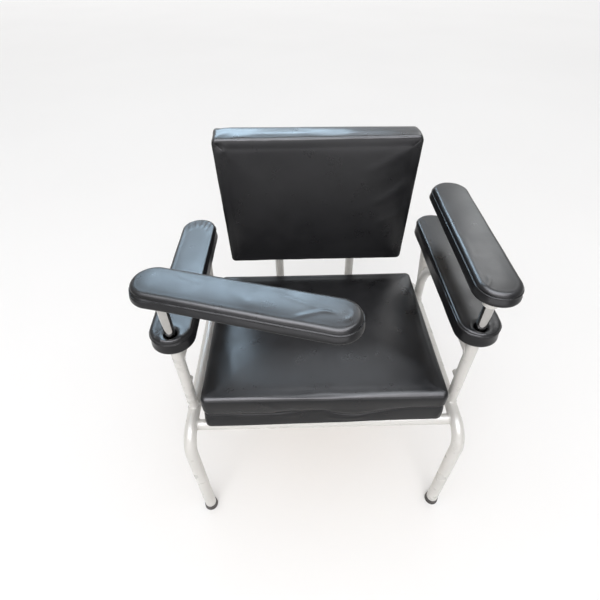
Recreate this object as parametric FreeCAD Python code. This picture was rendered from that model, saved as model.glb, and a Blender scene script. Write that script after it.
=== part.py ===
# Phlebotomy chair: welded steel tube frame, padded seat and back, two fixed padded
# armrests, and above them two padded draw arms that slide up and down and swivel on
# chromed stems.
# Row frame: the chair faces -Y, Z is up, +X is the sitter's left. Left and right in the
# names are as seen from in front of the chair, so left is -X. Origin on the floor under
# the middle of the outer box. Millimetres.
# The driving numbers below are written from the seat's front edge (y = 0 there);
# Y_SHIFT moves everything to the row's origin at the end.
import FreeCAD, Part
import math
import os

os.makedirs("parts", exist_ok=True)

V = FreeCAD.Vector

# ---------------------------------------------------------------- driving sizes
Y_SHIFT = -230.6          # seat front edge to the row's origin

# side frames: one bent tube each, front leg, rail, rear leg
SIDE_X = 317.0
LEG_OD, LEG_WALL = 30.0, 1.5
RAIL_Z = 350.0
FRONT_LEG_Y, REAR_LEG_Y = -46.0, 511.0
FRONT_BEND_R, REAR_BEND_R = 50.0, 45.0
LEG_END_Z = 5.0
CAP_R_TOP, CAP_R_BOTTOM, CAP_H = 16.6, 18.0, 17.0

# light tube: cross rails, posts, arm tubes, back uprights
TUBE_OD, TUBE_WALL = 25.4, 1.2
FRONT_RAIL_Y, SEAT_REAR_RAIL_Y, SEAT_RAIL_Z = 7.0, 400.0, 343.0
REAR_RAIL_Y, REAR_RAIL_Z = 511.0, 300.0

POST_Y = 51.0             # front posts, in which the stems slide
ARM_TUBE_Z, ARM_BEND_R = 540.0, 135.0
REAR_POST_Y = 420.0
REAR_POST_KINK_Z, REAR_POST_TOP_Y = 430.0, 458.0

# seat cushion
SEAT_W, SEAT_D, SEAT_TOP_Z, SEAT_BOTTOM_Z = 564.0, 440.0, 450.0, 355.8
SEAT_CORNER_R, SEAT_EDGE_R, SEAT_BOARD_T = 15.0, 12.0, 15.0

# back cushion: lower front edge, size along the face, recline
BACK_Y, BACK_Z, BACK_H = 440.75, 502.3, 352.0
BACK_W_TOP, BACK_W_BOTTOM, BACK_T = 510.0, 489.0, 70.0
BACK_RECLINE = 2.0
BACK_CORNER_R, BACK_EDGE_R, BACK_BOARD_T = 14.0, 14.0, 12.0
UPRIGHT_X = 111.0
UPRIGHT_LOW_S, UPRIGHT_TOP_S = -199.0, 300.0

# fixed armrests
REST_X, REST_Y0, REST_Y1, REST_W = 321.0, 26.6, 485.6, 92.0
REST_TOP_Z, REST_T, REST_BOARD_T = 621.6, 38.8, 12.0
REST_HOLE_R = 14.0

# draw arms on their stems (left at the picture's height, right a little lower)
DRAW_W, DRAW_TIP, DRAW_T, DRAW_BOARD_T = 92.0, 386.0, 30.0, 10.0
DRAW_TOP_L, DRAW_TOP_R = 764.8, 747.0
DRAW_DIR_L, DRAW_DIR_R = 106.0, 1.2     # degrees from straight back, turning to +X
STEM_R, STEM_WALL = 11.0, 2.0
STEM_BOTTOM_L = 405.0
BORE_R = 11.05            # bush and socket bores: 0.05 mm round the stem
CLAMP_Z = 445.0
CLAMP_BOSS_R, CLAMP_BOSS_L = 9.5, 9.5    # welded boss behind each front post
COVER_T = 1.2             # coated fabric cover


# ---------------------------------------------------------------- helpers
def arc_path(points, radii):
    """Tangent lines and arcs through 3D points; radii for the inner points."""
    pts = [V(*p) for p in points]
    edges = []
    start = pts[0]
    for i in range(1, len(pts) - 1):
        a, b, c = pts[i - 1], pts[i], pts[i + 1]
        u = (a - b).normalize()
        w = (c - b).normalize()
        half = u.getAngle(w) / 2.0
        t = radii[i - 1] / math.tan(half)
        p1 = b + u * t
        p2 = b + w * t
        mid_dir = (u + w).normalize()
        mid = b + mid_dir * (radii[i - 1] / math.sin(half) - radii[i - 1])
        if (p1 - start).Length > 1e-6:
            edges.append(Part.LineSegment(start, p1).toShape())
        edges.append(Part.Arc(p1, mid, p2).toShape())
        start = p2
    if (pts[-1] - start).Length > 1e-6:
        edges.append(Part.LineSegment(start, pts[-1]).toShape())
    return Part.Wire(edges)


def sweep(points, radii, r):
    """Solid round bar of radius r along the path."""
    wire = arc_path(points, radii)
    d = (V(*points[1]) - V(*points[0])).normalize()
    ring = Part.Wire([Part.makeCircle(r, V(*points[0]), d)])
    return wire.makePipeShell([ring], True, False)


def tube(points, radii, od, wall):
    return sweep(points, radii, od / 2.0).cut(sweep(points, radii, od / 2.0 - wall))


def cyl(r, h, at, axis=(0, 0, 1)):
    return Part.makeCylinder(r, h, V(*at), V(*axis))


def rod_between(p, q, r):
    a, b = V(*p), V(*q)
    return Part.makeCylinder(r, (b - a).Length, a, b - a)


def pipe_between(p, q, od, wall):
    return rod_between(p, q, od / 2.0).cut(rod_between(p, q, od / 2.0 - wall))


def box(x0, x1, y0, y1, z0, z1):
    return Part.makeBox(x1 - x0, y1 - y0, z1 - z0, V(x0, y0, z0))


def moved(shape, dx=0, dy=0, dz=0):
    s = shape.copy()
    s.translate(V(dx, dy, dz))
    return s


def turned(shape, centre, axis, degrees):
    s = shape.copy()
    s.rotate(V(*centre), V(*axis), degrees)
    return s


def obround_face(y0, y1, width, inset, cx=0.0):
    """Flat outline with half-round ends, long side along Y, at z = 0."""
    r = width / 2.0 - inset
    ya, yb = y0 + width / 2.0, y1 - width / 2.0
    e = [
        Part.LineSegment(V(cx + r, ya, 0), V(cx + r, yb, 0)).toShape(),
        Part.Arc(V(cx + r, yb, 0), V(cx, yb + r, 0), V(cx - r, yb, 0)).toShape(),
        Part.LineSegment(V(cx - r, yb, 0), V(cx - r, ya, 0)).toShape(),
        Part.Arc(V(cx - r, ya, 0), V(cx, ya - r, 0), V(cx + r, ya, 0)).toShape(),
    ]
    return Part.Face(Part.Wire(e))


def rounded_quad_face(corners, r, inset):
    """Flat four-sided outline at z = 0 with rounded corners, moved in by inset."""
    n = len(corners)
    pts = []
    for i in range(n):
        p0, p1, p2 = (V(*corners[(i + k - 1) % n], 0) for k in range(3))
        a = (p1 - p0).normalize()
        b = (p2 - p1).normalize()
        na, nb = V(-a.y, a.x, 0), V(-b.y, b.x, 0)      # inward for a ccw outline
        bis = (na + nb)
        bis = bis * (1.0 / (1.0 + na.dot(nb)))
        pts.append(p1 + bis * inset)
    rr = max(r - inset, 1.0)
    edges = []
    ends = []
    for i in range(n):
        p0, p1, p2 = pts[i - 1], pts[i], pts[(i + 1) % n]
        u = (p0 - p1).normalize()
        w = (p2 - p1).normalize()
        half = u.getAngle(w) / 2.0
        t = rr / math.tan(half)
        q1, q2 = p1 + u * t, p1 + w * t
        mid = p1 + (u + w).normalize() * (rr / math.sin(half) - rr)
        ends.append((q1, mid, q2))
    for i in range(n):
        q1, mid, q2 = ends[i]
        edges.append(Part.Arc(q1, mid, q2).toShape())
        edges.append(Part.LineSegment(q2, ends[(i + 1) % n][0]).toShape())
    return Part.Face(Part.Wire(Part.__sortEdges__(edges)))


def slab(face, z0, z1, top_fillet=0.0, bottom_fillet=0.0):
    """Extrude a z = 0 face from z0 to z1 and round its upper and lower rim."""
    s = face.copy()
    s.translate(V(0, 0, z0))
    s = s.extrude(V(0, 0, z1 - z0))
    for z, r in ((z1, top_fillet), (z0, bottom_fillet)):
        if r > 0:
            rim = [
                e
                for e in s.Edges
                if abs(e.BoundBox.ZMin - z) < 1e-6 and abs(e.BoundBox.ZMax - z) < 1e-6
            ]
            s = s.makeFillet(r, rim)
    return s


def pad(outline, z0, z1, board_t, edge_r, lip=22.0, low_r=4.5):
    """Board, foam and wrapped cover of one pad; outline(inset) gives its face.

    low_r rounds the lower rim, where the cover is pulled round the board's eased edge.
    """
    outer = slab(outline(0.0), z0, z1, edge_r, low_r)
    inner = slab(outline(COVER_T), z0 + COVER_T, z1 - COVER_T, edge_r - COVER_T, low_r - COVER_T)
    cover = outer.cut(inner).cut(slab(outline(lip), z0 - 1.0, z0 + COVER_T + 1.0))
    board_top = z0 + COVER_T + board_t
    bb = inner.BoundBox
    below = box(bb.XMin - 5, bb.XMax + 5, bb.YMin - 5, bb.YMax + 5, z0 - 5, board_top)
    above = box(bb.XMin - 5, bb.XMax + 5, bb.YMin - 5, bb.YMax + 5, board_top, z1 + 5)
    return inner.common(below), inner.common(above), cover


def wood_screw(x, y, z, length):
    """Pan head under a plate at z, shank going up."""
    head = cyl(4.0, 2.4, (x, y, z - 2.4))
    head = head.makeFillet(1.2, [e for e in head.Edges if e.BoundBox.ZMax < z - 2.3])
    cross = box(x - 2.2, x + 2.2, y - 0.5, y + 0.5, z - 3, z - 1.2).fuse(
        box(x - 0.5, x + 0.5, y - 2.2, y + 2.2, z - 3, z - 1.2)
    )
    return head.cut(cross).fuse(cyl(2.0, length, (x, y, z))).removeSplitter()


NODES = {}


def put(name, shape):
    NODES[name] = shape


def single(shape):
    """The one solid of a boolean result."""
    solids = sorted(shape.Solids, key=lambda s: -s.Volume)
    return solids[0]


def mirror_x(shape):
    return shape.mirror(V(0, 0, 0), V(1, 0, 0))


R_LEG, R_TUBE = LEG_OD / 2.0, TUBE_OD / 2.0


# ---------------------------------------------------------------- side frames
def side_points(x):
    return [
        (x, FRONT_LEG_Y, LEG_END_Z),
        (x, FRONT_LEG_Y, RAIL_Z),
        (x, REAR_LEG_Y, RAIL_Z),
        (x, REAR_LEG_Y, LEG_END_Z),
    ]


side_radii = [FRONT_BEND_R, REAR_BEND_R]
side_filled = {}
for side, sx in (("left", -1), ("right", 1)):
    side_filled[side] = sweep(side_points(sx * SIDE_X), side_radii, R_LEG)
    put(side + "_leg_frame", tube(side_points(sx * SIDE_X), side_radii, LEG_OD, LEG_WALL))

both_sides = side_filled["left"].fuse(side_filled["right"])

# rubber caps on the four feet: a cup with a rounded, slightly wider sole
for end, y in (("front", FRONT_LEG_Y), ("rear", REAR_LEG_Y)):
    for side, sx in (("left", -1), ("right", 1)):
        x = sx * SIDE_X
        cone = Part.makeCone(CAP_R_BOTTOM, CAP_R_TOP, CAP_H, V(x, y, 0), V(0, 0, 1))
        cone = cone.makeFillet(1.5, [e for e in cone.Edges if e.BoundBox.ZMax < 0.01])
        cup = cone.cut(cyl(R_LEG + 0.05, CAP_H, (x, y, LEG_END_Z)))
        for ring_r in (6.0, 11.0):
            groove = cyl(ring_r + 1.0, 1.0, (x, y, 0)).cut(cyl(ring_r - 1.0, 1.0, (x, y, 0)))
            cup = cup.cut(groove)
        put(end + "_" + side + "_foot_cap", cup)


# ---------------------------------------------------------------- cross rails
def cross_rail(y, z, half):
    solid = rod_between((-half, y, z), (half, y, z), R_TUBE)
    bore = rod_between((-half - 1, y, z), (half + 1, y, z), R_TUBE - TUBE_WALL)
    return solid, single(solid.cut(bore).cut(both_sides))


half_span = SIDE_X - 9.0
front_fill, front_rail = cross_rail(FRONT_RAIL_Y, SEAT_RAIL_Z, half_span)
mid_fill, mid_rail = cross_rail(SEAT_REAR_RAIL_Y, SEAT_RAIL_Z, half_span)
rear_fill, rear_rail = cross_rail(REAR_RAIL_Y, REAR_RAIL_Z, SIDE_X - 2.0)

seat_bolts = []
seat_bolt_at = [(x, y) for y in (FRONT_RAIL_Y, SEAT_REAR_RAIL_Y) for x in (-190.0, 0.0, 190.0)]
for x, y in seat_bolt_at:
    hole = cyl(3.1, 60, (x, y, SEAT_RAIL_Z - 30))
    if y == FRONT_RAIL_Y:
        front_rail = front_rail.cut(hole)
    else:
        mid_rail = mid_rail.cut(hole)
    # domed head bedded on the underside of the rail
    head = cyl(6.5, 4.6, (x, y, SEAT_RAIL_Z - R_TUBE - 4.2))
    head = head.makeFillet(2.0, [e for e in head.Edges if e.BoundBox.ZMax < SEAT_RAIL_Z - R_TUBE - 4.0])
    bolt = head.fuse(cyl(3.0, 41.0, (x, y, SEAT_RAIL_Z - R_TUBE - 0.5)))
    rail = rod_between((-half_span, y, SEAT_RAIL_Z), (half_span, y, SEAT_RAIL_Z), R_TUBE)
    shank_room = cyl(3.0, 80, (x, y, SEAT_RAIL_Z - 40))
    bolt = single(bolt.cut(rail.cut(shank_room)))
    seat_bolts.append(bolt)
put("front_cross_rail", front_rail)
put("seat_rear_rail", mid_rail)
put("seat_screws", Part.makeCompound(seat_bolts))

# ---------------------------------------------------------------- seat
seat_corners = [
    (-SEAT_W / 2, 0.0), (SEAT_W / 2, 0.0), (SEAT_W / 2, SEAT_D), (-SEAT_W / 2, SEAT_D),
]
seat_board, seat_foam, seat_cover = pad(
    lambda inset: rounded_quad_face(seat_corners, SEAT_CORNER_R, inset),
    SEAT_BOTTOM_Z, SEAT_TOP_Z, SEAT_BOARD_T, SEAT_EDGE_R, 26.0,
)
for x, y in seat_bolt_at:
    seat_board = seat_board.cut(cyl(3.05, 30, (x, y, SEAT_BOTTOM_Z - 5)))
    seat_foam = seat_foam.cut(cyl(3.05, 30, (x, y, SEAT_BOTTOM_Z - 5)))
    seat_cover = seat_cover.cut(cyl(4.0, 8, (x, y, SEAT_BOTTOM_Z - 4)))
put("seat_board", seat_board)
put("seat_foam", seat_foam)
put("seat_cover", single(seat_cover))

# ---------------------------------------------------------------- back
# built flat, face up, then stood up: local z = height above the rear of the pad
back_corners = [
    (-BACK_W_BOTTOM / 2, 0.0), (BACK_W_BOTTOM / 2, 0.0),
    (BACK_W_TOP / 2, BACK_H), (-BACK_W_TOP / 2, BACK_H),
]
back_board, back_foam, back_cover = pad(
    lambda inset: rounded_quad_face(back_corners, BACK_CORNER_R, inset),
    -BACK_T, 0.0, BACK_BOARD_T, BACK_EDGE_R, 26.0,
)


def stand_up(shape):
    """Flat back (y up the face, z towards the sitter) to its place in the chair."""
    s = shape.copy()
    s.rotate(V(0, 0, 0), V(1, 0, 0), 90.0 - BACK_RECLINE)
    s.translate(V(0, BACK_Y, BACK_Z))
    return s


upright_depth = -BACK_T - R_TUBE - 0.05
uprights = {}
bolts = []
for side, sx in (("left", -1), ("right", 1)):
    x = sx * UPRIGHT_X
    bar = pipe_between((x, UPRIGHT_LOW_S, upright_depth), (x, UPRIGHT_TOP_S, upright_depth),
                       TUBE_OD, TUBE_WALL)
    for s in (70.0, 262.0):
        hole = cyl(3.1, 60, (x, s, upright_depth - 30))
        bar = bar.cut(hole)
        back_board = back_board.cut(cyl(3.05, 16, (x, s, -BACK_T - 4)))
        back_cover = back_cover.cut(cyl(4.0, 8, (x, s, -BACK_T - 4)))
        z_back = upright_depth - R_TUBE
        head = cyl(7.0, 4.5, (x, s, z_back - 3.9))
        head = head.makeFillet(2.0, [e for e in head.Edges if e.BoundBox.ZMax < z_back - 3.8])
        bolt = head.fuse(cyl(3.0, TUBE_OD + 12.0, (x, s, z_back)))
        full = rod_between((x, s - 40, upright_depth), (x, s + 40, upright_depth), R_TUBE)
        bolt = single(bolt.cut(full.cut(cyl(3.0, 80, (x, s, upright_depth - 40)))))
        bolts.append(stand_up(bolt))
    uprights[side] = stand_up(bar)

put("back_board", stand_up(back_board))
put("back_foam", stand_up(back_foam))
put("back_cover", stand_up(single(back_cover)))
put("back_bolts", Part.makeCompound(bolts))

for side in ("left", "right"):
    up = single(uprights[side].cut(rear_fill))
    put(side + "_back_upright", up)
put("rear_cross_rail", rear_rail)

plugs = []
for sx in (-1, 1):
    x = sx * UPRIGHT_X
    cap = cyl(R_TUBE, 3.0, (x, 0, 0))
    cap = cap.makeFillet(2.0, [e for e in cap.Edges if e.BoundBox.ZMin > 2.9])
    stub = cyl(R_TUBE - TUBE_WALL - 0.02, 14.0, (x, 0, -14.0)).cut(
        cyl(R_TUBE - TUBE_WALL - 2.0, 12.0, (x, 0, -14.0)))
    plug = cap.fuse(stub).removeSplitter()
    plug.rotate(V(x, 0, 0), V(1, 0, 0), -90)      # axis along local +y
    plug.translate(V(0, UPRIGHT_TOP_S, upright_depth))
    plugs.append(stand_up(plug))
put("upright_end_plugs", Part.makeCompound(plugs))


# ---------------------------------------------------------------- arm supports
PLATE_T = 3.0
REST_BOTTOM_Z = REST_TOP_Z - REST_T
PLATE_TOP_Z = REST_BOTTOM_Z + COVER_T          # plates bear on the board itself
POST_TOP_Z = PLATE_TOP_Z

plates, rest_screws, bushes, bosses = [], [], [], []
for side, sx in (("left", -1), ("right", 1)):
    x = sx * SIDE_X
    # front post: open tube standing on the rail, the stem's guide
    post = cyl(R_TUBE, POST_TOP_Z - RAIL_Z, (x, POST_Y, RAIL_Z))
    post_fill = post.copy()
    post = post.cut(side_filled[side])
    post = single(post.cut(cyl(R_TUBE - TUBE_WALL, 400, (x, POST_Y, RAIL_Z - 50))))
    clamp_hole = cyl(4.1, 30, (x, POST_Y, CLAMP_Z), (0, 1, 0))
    post = post.cut(clamp_hole)
    put(side + "_front_post", post)

    # rear post: upright from the rail, then leaning back to the armrest's rear
    top_y = REAR_POST_TOP_Y
    rear_pts = [(x, REAR_POST_Y, RAIL_Z), (x, REAR_POST_Y, REAR_POST_KINK_Z),
                (x, top_y, PLATE_TOP_Z - PLATE_T)]
    rear_fill_post = sweep(rear_pts, [60.0], R_TUBE)
    trim_top = box(x - 60, x + 60, 300, 600, PLATE_TOP_Z - PLATE_T, 700)
    long_pts = [rear_pts[0], rear_pts[1],
                (x, REAR_POST_Y + (top_y - REAR_POST_Y) * 1.15,
                 REAR_POST_KINK_Z + (PLATE_TOP_Z - PLATE_T - REAR_POST_KINK_Z) * 1.15)]
    rear_post = tube(long_pts, [60.0], TUBE_OD, TUBE_WALL).cut(trim_top).cut(side_filled[side])
    put(side + "_rear_post", single(rear_post))
    rear_solid = sweep(long_pts, [60.0], R_TUBE + 0.03)   # the arm tube is coped to this

    # arm tube: from the front post, level, then bending down into the rear post
    z_low = ARM_TUBE_Z - ARM_BEND_R
    arm_pts = [(x, POST_Y, ARM_TUBE_Z), (x, REAR_POST_Y, ARM_TUBE_Z), (x, REAR_POST_Y, z_low - 1.0)]
    arm = tube(arm_pts, [ARM_BEND_R], TUBE_OD, TUBE_WALL)
    arm = arm.cut(post_fill).cut(rear_solid)
    arm = single(arm)
    # the thin feather below the joint is ground away
    arm = arm.cut(box(x - 30, x + 30, 300, 600, z_low - 20, z_low + 32.0))
    put(side + "_arm_tube", single(arm))

    # plates under the armrest: one round the front post, one on the rear post
    xc = sx * REST_X
    front_plate = box(xc - 26, xc + 26, POST_Y - 15, POST_Y + 52, PLATE_TOP_Z - PLATE_T, PLATE_TOP_Z)
    front_plate = front_plate.makeFillet(10.0, [e for e in front_plate.Edges
                                              if abs(e.BoundBox.ZLength - PLATE_T) < 1e-6])
    front_plate = front_plate.cut(cyl(R_TUBE + 0.05, 10, (x, POST_Y, PLATE_TOP_Z - 5)))
    rear_plate = box(xc - 24, xc + 24, top_y - 48, top_y + 14, PLATE_TOP_Z - PLATE_T, PLATE_TOP_Z)
    rear_plate = rear_plate.makeFillet(10.0, [e for e in rear_plate.Edges
                                            if abs(e.BoundBox.ZLength - PLATE_T) < 1e-6])
    screw_at = [(xc - 15, POST_Y + 42), (xc + 15, POST_Y + 42),
                (xc - 15, top_y - 36), (xc + 15, top_y - 36)]
    for px, py in screw_at:
        hole = cyl(2.3, 12, (px, py, PLATE_TOP_Z - 6))
        front_plate = front_plate.cut(hole)
        rear_plate = rear_plate.cut(hole)
        rest_screws.append(wood_screw(px, py, PLATE_TOP_Z - PLATE_T, PLATE_T + 9.0))
    plates += [front_plate, rear_plate]

    # the padded armrest
    board, foam, cover = pad(
        lambda inset, xc=xc: obround_face(REST_Y0, REST_Y1, REST_W, inset, xc),
        REST_BOTTOM_Z, REST_TOP_Z, REST_BOARD_T, 12.0, 12.0,
    )
    board = board.cut(cyl(15.5, 60, (x, POST_Y, REST_BOTTOM_Z - 5)))
    foam = foam.cut(cyl(15.5, 60, (x, POST_Y, REST_BOTTOM_Z - 5)))
    cover = cover.cut(cyl(REST_HOLE_R, 60, (x, POST_Y, REST_BOTTOM_Z + 10)))
    # the wrapped edge is trimmed back round the two plates
    for y0, y1 in ((POST_Y - 15.3, POST_Y + 52.3), (top_y - 48.3, top_y + 14.3)):
        cover = cover.cut(box(xc - 26.3, xc + 26.3, y0, y1, REST_BOTTOM_Z - 5, PLATE_TOP_Z))
    for px, py in screw_at:
        board = board.cut(cyl(2.03, 14, (px, py, PLATE_TOP_Z - 4)))
    put(side + "_armrest_board", single(board))
    put(side + "_armrest_foam", single(foam))
    put(side + "_armrest_cover", single(cover))

    # nylon bush in the mouth of the front post
    bush = cyl(R_TUBE - TUBE_WALL - 0.02, 24, (x, POST_Y, POST_TOP_Z - 24))
    bush = bush.fuse(cyl(14.0, 2.0, (x, POST_Y, POST_TOP_Z))).cut(
        cyl(BORE_R, 60, (x, POST_Y, POST_TOP_Z - 40))).removeSplitter()
    bushes.append(bush)

    # clamp boss on the back of the front post, and the socket set screw in it
    y_face = POST_Y + R_TUBE
    boss = cyl(CLAMP_BOSS_R, CLAMP_BOSS_L + 3.5, (x, y_face - 3.5, CLAMP_Z), (0, 1, 0))
    boss = boss.cut(cyl(R_TUBE, 60, (x, POST_Y, CLAMP_Z - 30)))
    boss = boss.cut(cyl(4.05, 40, (x, POST_Y, CLAMP_Z), (0, 1, 0)))
    bosses.append(single(boss))
    # backed off until its tip is inside the post's wall, so that the stem's glide can pass it
    y_in, y_out = POST_Y + R_TUBE - TUBE_WALL + 0.2, y_face + CLAMP_BOSS_L + 1.5
    screw = cyl(4.0, y_out - y_in, (x, y_in, CLAMP_Z), (0, 1, 0))
    screw = screw.makeChamfer(0.8, [e for e in screw.Edges if e.BoundBox.YLength < 0.01])
    hexagon = Part.makePolygon([V(x + 2.3 * math.cos(math.radians(60 * k)), y_out - 4.5,
                                  CLAMP_Z + 2.3 * math.sin(math.radians(60 * k))) for k in range(7)])
    screw = screw.cut(Part.Face(hexagon).extrude(V(0, 6.0, 0)))
    put(side + "_clamp_screw", single(screw))

# the right-hand arm tube and rear post mirror the left-hand ones
for name in ("arm_tube", "rear_post"):
    put("right_" + name, mirror_x(NODES["left_" + name]))

put("armrest_plates", Part.makeCompound(plates))
put("armrest_screws", Part.makeCompound(rest_screws))
put("guide_bushes", Part.makeCompound(bushes))
put("clamp_bosses", Part.makeCompound(bosses))


# ---------------------------------------------------------------- draw arms
# modelled straight back from the pivot at the left arm's height, then placed
def draw_arm():
    top = DRAW_TOP_L
    z0 = top - DRAW_T
    plate_top = z0 + COVER_T
    plate_z = plate_top - PLATE_T
    parts = {}
    board, foam, cover = pad(
        lambda inset: obround_face(-DRAW_W / 2, DRAW_TIP, DRAW_W, inset),
        z0, top, DRAW_BOARD_T, 12.0, 12.0,
    )
    plate = box(-24, 24, -26, 110, plate_z, plate_top)
    plate = plate.makeFillet(8.0, [e for e in plate.Edges
                                   if abs(e.BoundBox.ZLength - PLATE_T) < 1e-6])
    socket = cyl(15.0, 30.0, (0, 0, plate_z - 30.0))
    plate = plate.fuse(socket).cut(cyl(BORE_R, 30.0, (0, 0, plate_z - 30.0)))
    plate = plate.cut(cyl(4.2, 20, (0, 0, plate_z - 5))).removeSplitter()
    screws = []
    for px, py in ((-16, 40), (16, 40), (-16, 98), (16, 98)):
        plate = plate.cut(cyl(2.3, 12, (px, py, plate_top - 6)))
        board = board.cut(cyl(2.03, 12, (px, py, plate_top - 4)))
        screws.append(wood_screw(px, py, plate_z, PLATE_T + 7.5))
    board = board.cut(cyl(11.0, 30, (0, 0, z0 - 5)))
    parts["draw_plate"] = plate
    parts["draw_board"] = single(board)
    parts["draw_foam"] = single(foam)
    parts["draw_cover"] = single(cover)
    parts["draw_screws"] = Part.makeCompound(screws)
    return parts, plate_z, plate_top


def stem_parts(plate_z, plate_top):
    """Everything that slides but doesn't swivel, on the pivot's axis."""
    parts = {}
    stem_top = plate_z - 1.6
    stem = cyl(STEM_R, stem_top - STEM_BOTTOM_L, (0, 0, STEM_BOTTOM_L))
    stem = stem.makeFillet(0.8, [e for e in stem.Edges if e.BoundBox.ZMin > stem_top - 0.01])
    stem = stem.cut(cyl(STEM_R - STEM_WALL, 600, (0, 0, STEM_BOTTOM_L - 10)))
    parts["stem"] = stem
    parts["swivel_washer"] = cyl(10.9, 1.5, (0, 0, stem_top + 0.05)).cut(
        cyl(4.3, 10, (0, 0, stem_top - 4)))
    insert = cyl(STEM_R - STEM_WALL - 0.02, 28.0, (0, 0, stem_top - 28.0)).cut(
        cyl(4.02, 60, (0, 0, stem_top - 50)))
    parts["stem_insert"] = insert
    head = Part.makePolygon([V(6.5 * math.cos(math.radians(60 * k)), 6.5 * math.sin(math.radians(60 * k)),
                               plate_top + 0.1) for k in range(7)])
    head = Part.Face(head).extrude(V(0, 0, 5.0))
    parts["swivel_screw"] = head.fuse(
        cyl(4.0, plate_top + 0.1 - (stem_top - 24.0), (0, 0, stem_top - 24.0))).removeSplitter()
    glide = cyl(11.42, 3.0, (0, 0, STEM_BOTTOM_L - 3.0)).fuse(
        cyl(STEM_R - STEM_WALL - 0.02, 14.0, (0, 0, STEM_BOTTOM_L - 0.5)))
    glide = glide.cut(cyl(6.0, 12.0, (0, 0, STEM_BOTTOM_L - 4.0))).removeSplitter()
    parts["stem_glide"] = glide
    return parts


arm_set, arm_plate_z, arm_plate_top = draw_arm()
stem_set = stem_parts(arm_plate_z, arm_plate_top)
for side, sx, direction, drop in (
    ("left", -1, DRAW_DIR_L, 0.0),
    ("right", 1, DRAW_DIR_R, DRAW_TOP_R - DRAW_TOP_L),
):
    for name, shape in arm_set.items():
        put(side + "_" + name,
            moved(turned(shape, (0, 0, 0), (0, 0, 1), -direction), sx * SIDE_X, POST_Y, drop))
    for name, shape in stem_set.items():
        put(side + "_" + name, moved(shape, sx * SIDE_X, POST_Y, drop))


# ---------------------------------------------------------------- output
low = [1e9] * 3
high = [-1e9] * 3
for name in sorted(NODES):
    shape = moved(NODES[name], 0, Y_SHIFT, 0)
    solids = shape.Solids
    if not solids or not shape.isValid() or any(not s.isClosed() for s in solids):
        raise SystemExit(name + " is not a closed valid solid")
    if len(solids) == 1:
        shape = solids[0]
    bb = shape.BoundBox
    low = [min(a, b) for a, b in zip(low, (bb.XMin, bb.YMin, bb.ZMin))]
    high = [max(a, b) for a, b in zip(high, (bb.XMax, bb.YMax, bb.ZMax))]
    print("%-26s solids %d  volume %10.0f" % (name, len(solids), shape.Volume))
    shape.exportStep("parts/" + name + ".step")
print(len(NODES), "nodes; box", [round(v, 2) for v in low], [round(v, 2) for v in high],
      "centre y", round((low[1] + high[1]) / 2, 2))
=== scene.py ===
import math

import bpy
import numpy as np
from mathutils import Matrix, Vector, noise


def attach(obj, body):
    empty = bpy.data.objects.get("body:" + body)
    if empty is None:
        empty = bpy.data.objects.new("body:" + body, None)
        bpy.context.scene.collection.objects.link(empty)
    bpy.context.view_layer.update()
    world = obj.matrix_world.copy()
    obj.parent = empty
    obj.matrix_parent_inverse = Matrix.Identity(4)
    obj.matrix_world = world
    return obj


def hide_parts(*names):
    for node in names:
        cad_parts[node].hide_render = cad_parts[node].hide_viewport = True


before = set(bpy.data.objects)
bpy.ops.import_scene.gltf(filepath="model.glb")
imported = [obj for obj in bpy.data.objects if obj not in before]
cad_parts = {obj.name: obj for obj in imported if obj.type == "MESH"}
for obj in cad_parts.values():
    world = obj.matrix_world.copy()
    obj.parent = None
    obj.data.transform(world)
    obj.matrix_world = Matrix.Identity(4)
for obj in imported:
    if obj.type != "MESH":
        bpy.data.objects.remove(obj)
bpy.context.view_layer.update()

YS = -230.6  # the driving sizes are written from the seat's front edge, in mm


# ------------------------------------------------------------------ materials
def new_mat(name):
    m = bpy.data.materials.new(name)
    m.use_nodes = True
    nt = m.node_tree
    b = nt.nodes["Principled BSDF"]
    return m, nt, b


def tex_coord(nt):
    return nt.nodes.new("ShaderNodeTexCoord").outputs["Object"]


def noise_tex(nt, vec, scale, detail=2.0, rough=0.5):
    n = nt.nodes.new("ShaderNodeTexNoise")
    n.inputs["Scale"].default_value = scale
    n.inputs["Detail"].default_value = detail
    n.inputs["Roughness"].default_value = rough
    nt.links.new(vec, n.inputs["Vector"])
    return n.outputs["Fac"]


def ramp(nt, fac, stops):
    r = nt.nodes.new("ShaderNodeValToRGB")
    e = r.color_ramp.elements
    while len(e) < len(stops):
        e.new(0.5)
    for el, (pos, col) in zip(e, stops):
        el.position = pos
        el.color = (*col, 1.0)
    nt.links.new(fac, r.inputs["Fac"])
    return r.outputs["Color"]


def span(nt, fac, lo, hi, a=0.0, b=1.0):
    m = nt.nodes.new("ShaderNodeMapRange")
    m.inputs["From Min"].default_value = a
    m.inputs["From Max"].default_value = b
    m.inputs["To Min"].default_value = lo
    m.inputs["To Max"].default_value = hi
    nt.links.new(fac, m.inputs["Value"])
    return m.outputs["Result"]


def bump(nt, b, height, strength, dist, before=None):
    n = nt.nodes.new("ShaderNodeBump")
    n.inputs["Strength"].default_value = strength
    n.inputs["Distance"].default_value = dist
    nt.links.new(height, n.inputs["Height"])
    if before is not None:
        nt.links.new(before, n.inputs["Normal"])
    nt.links.new(n.outputs["Normal"], b.inputs["Normal"])
    return n.outputs["Normal"]


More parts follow.
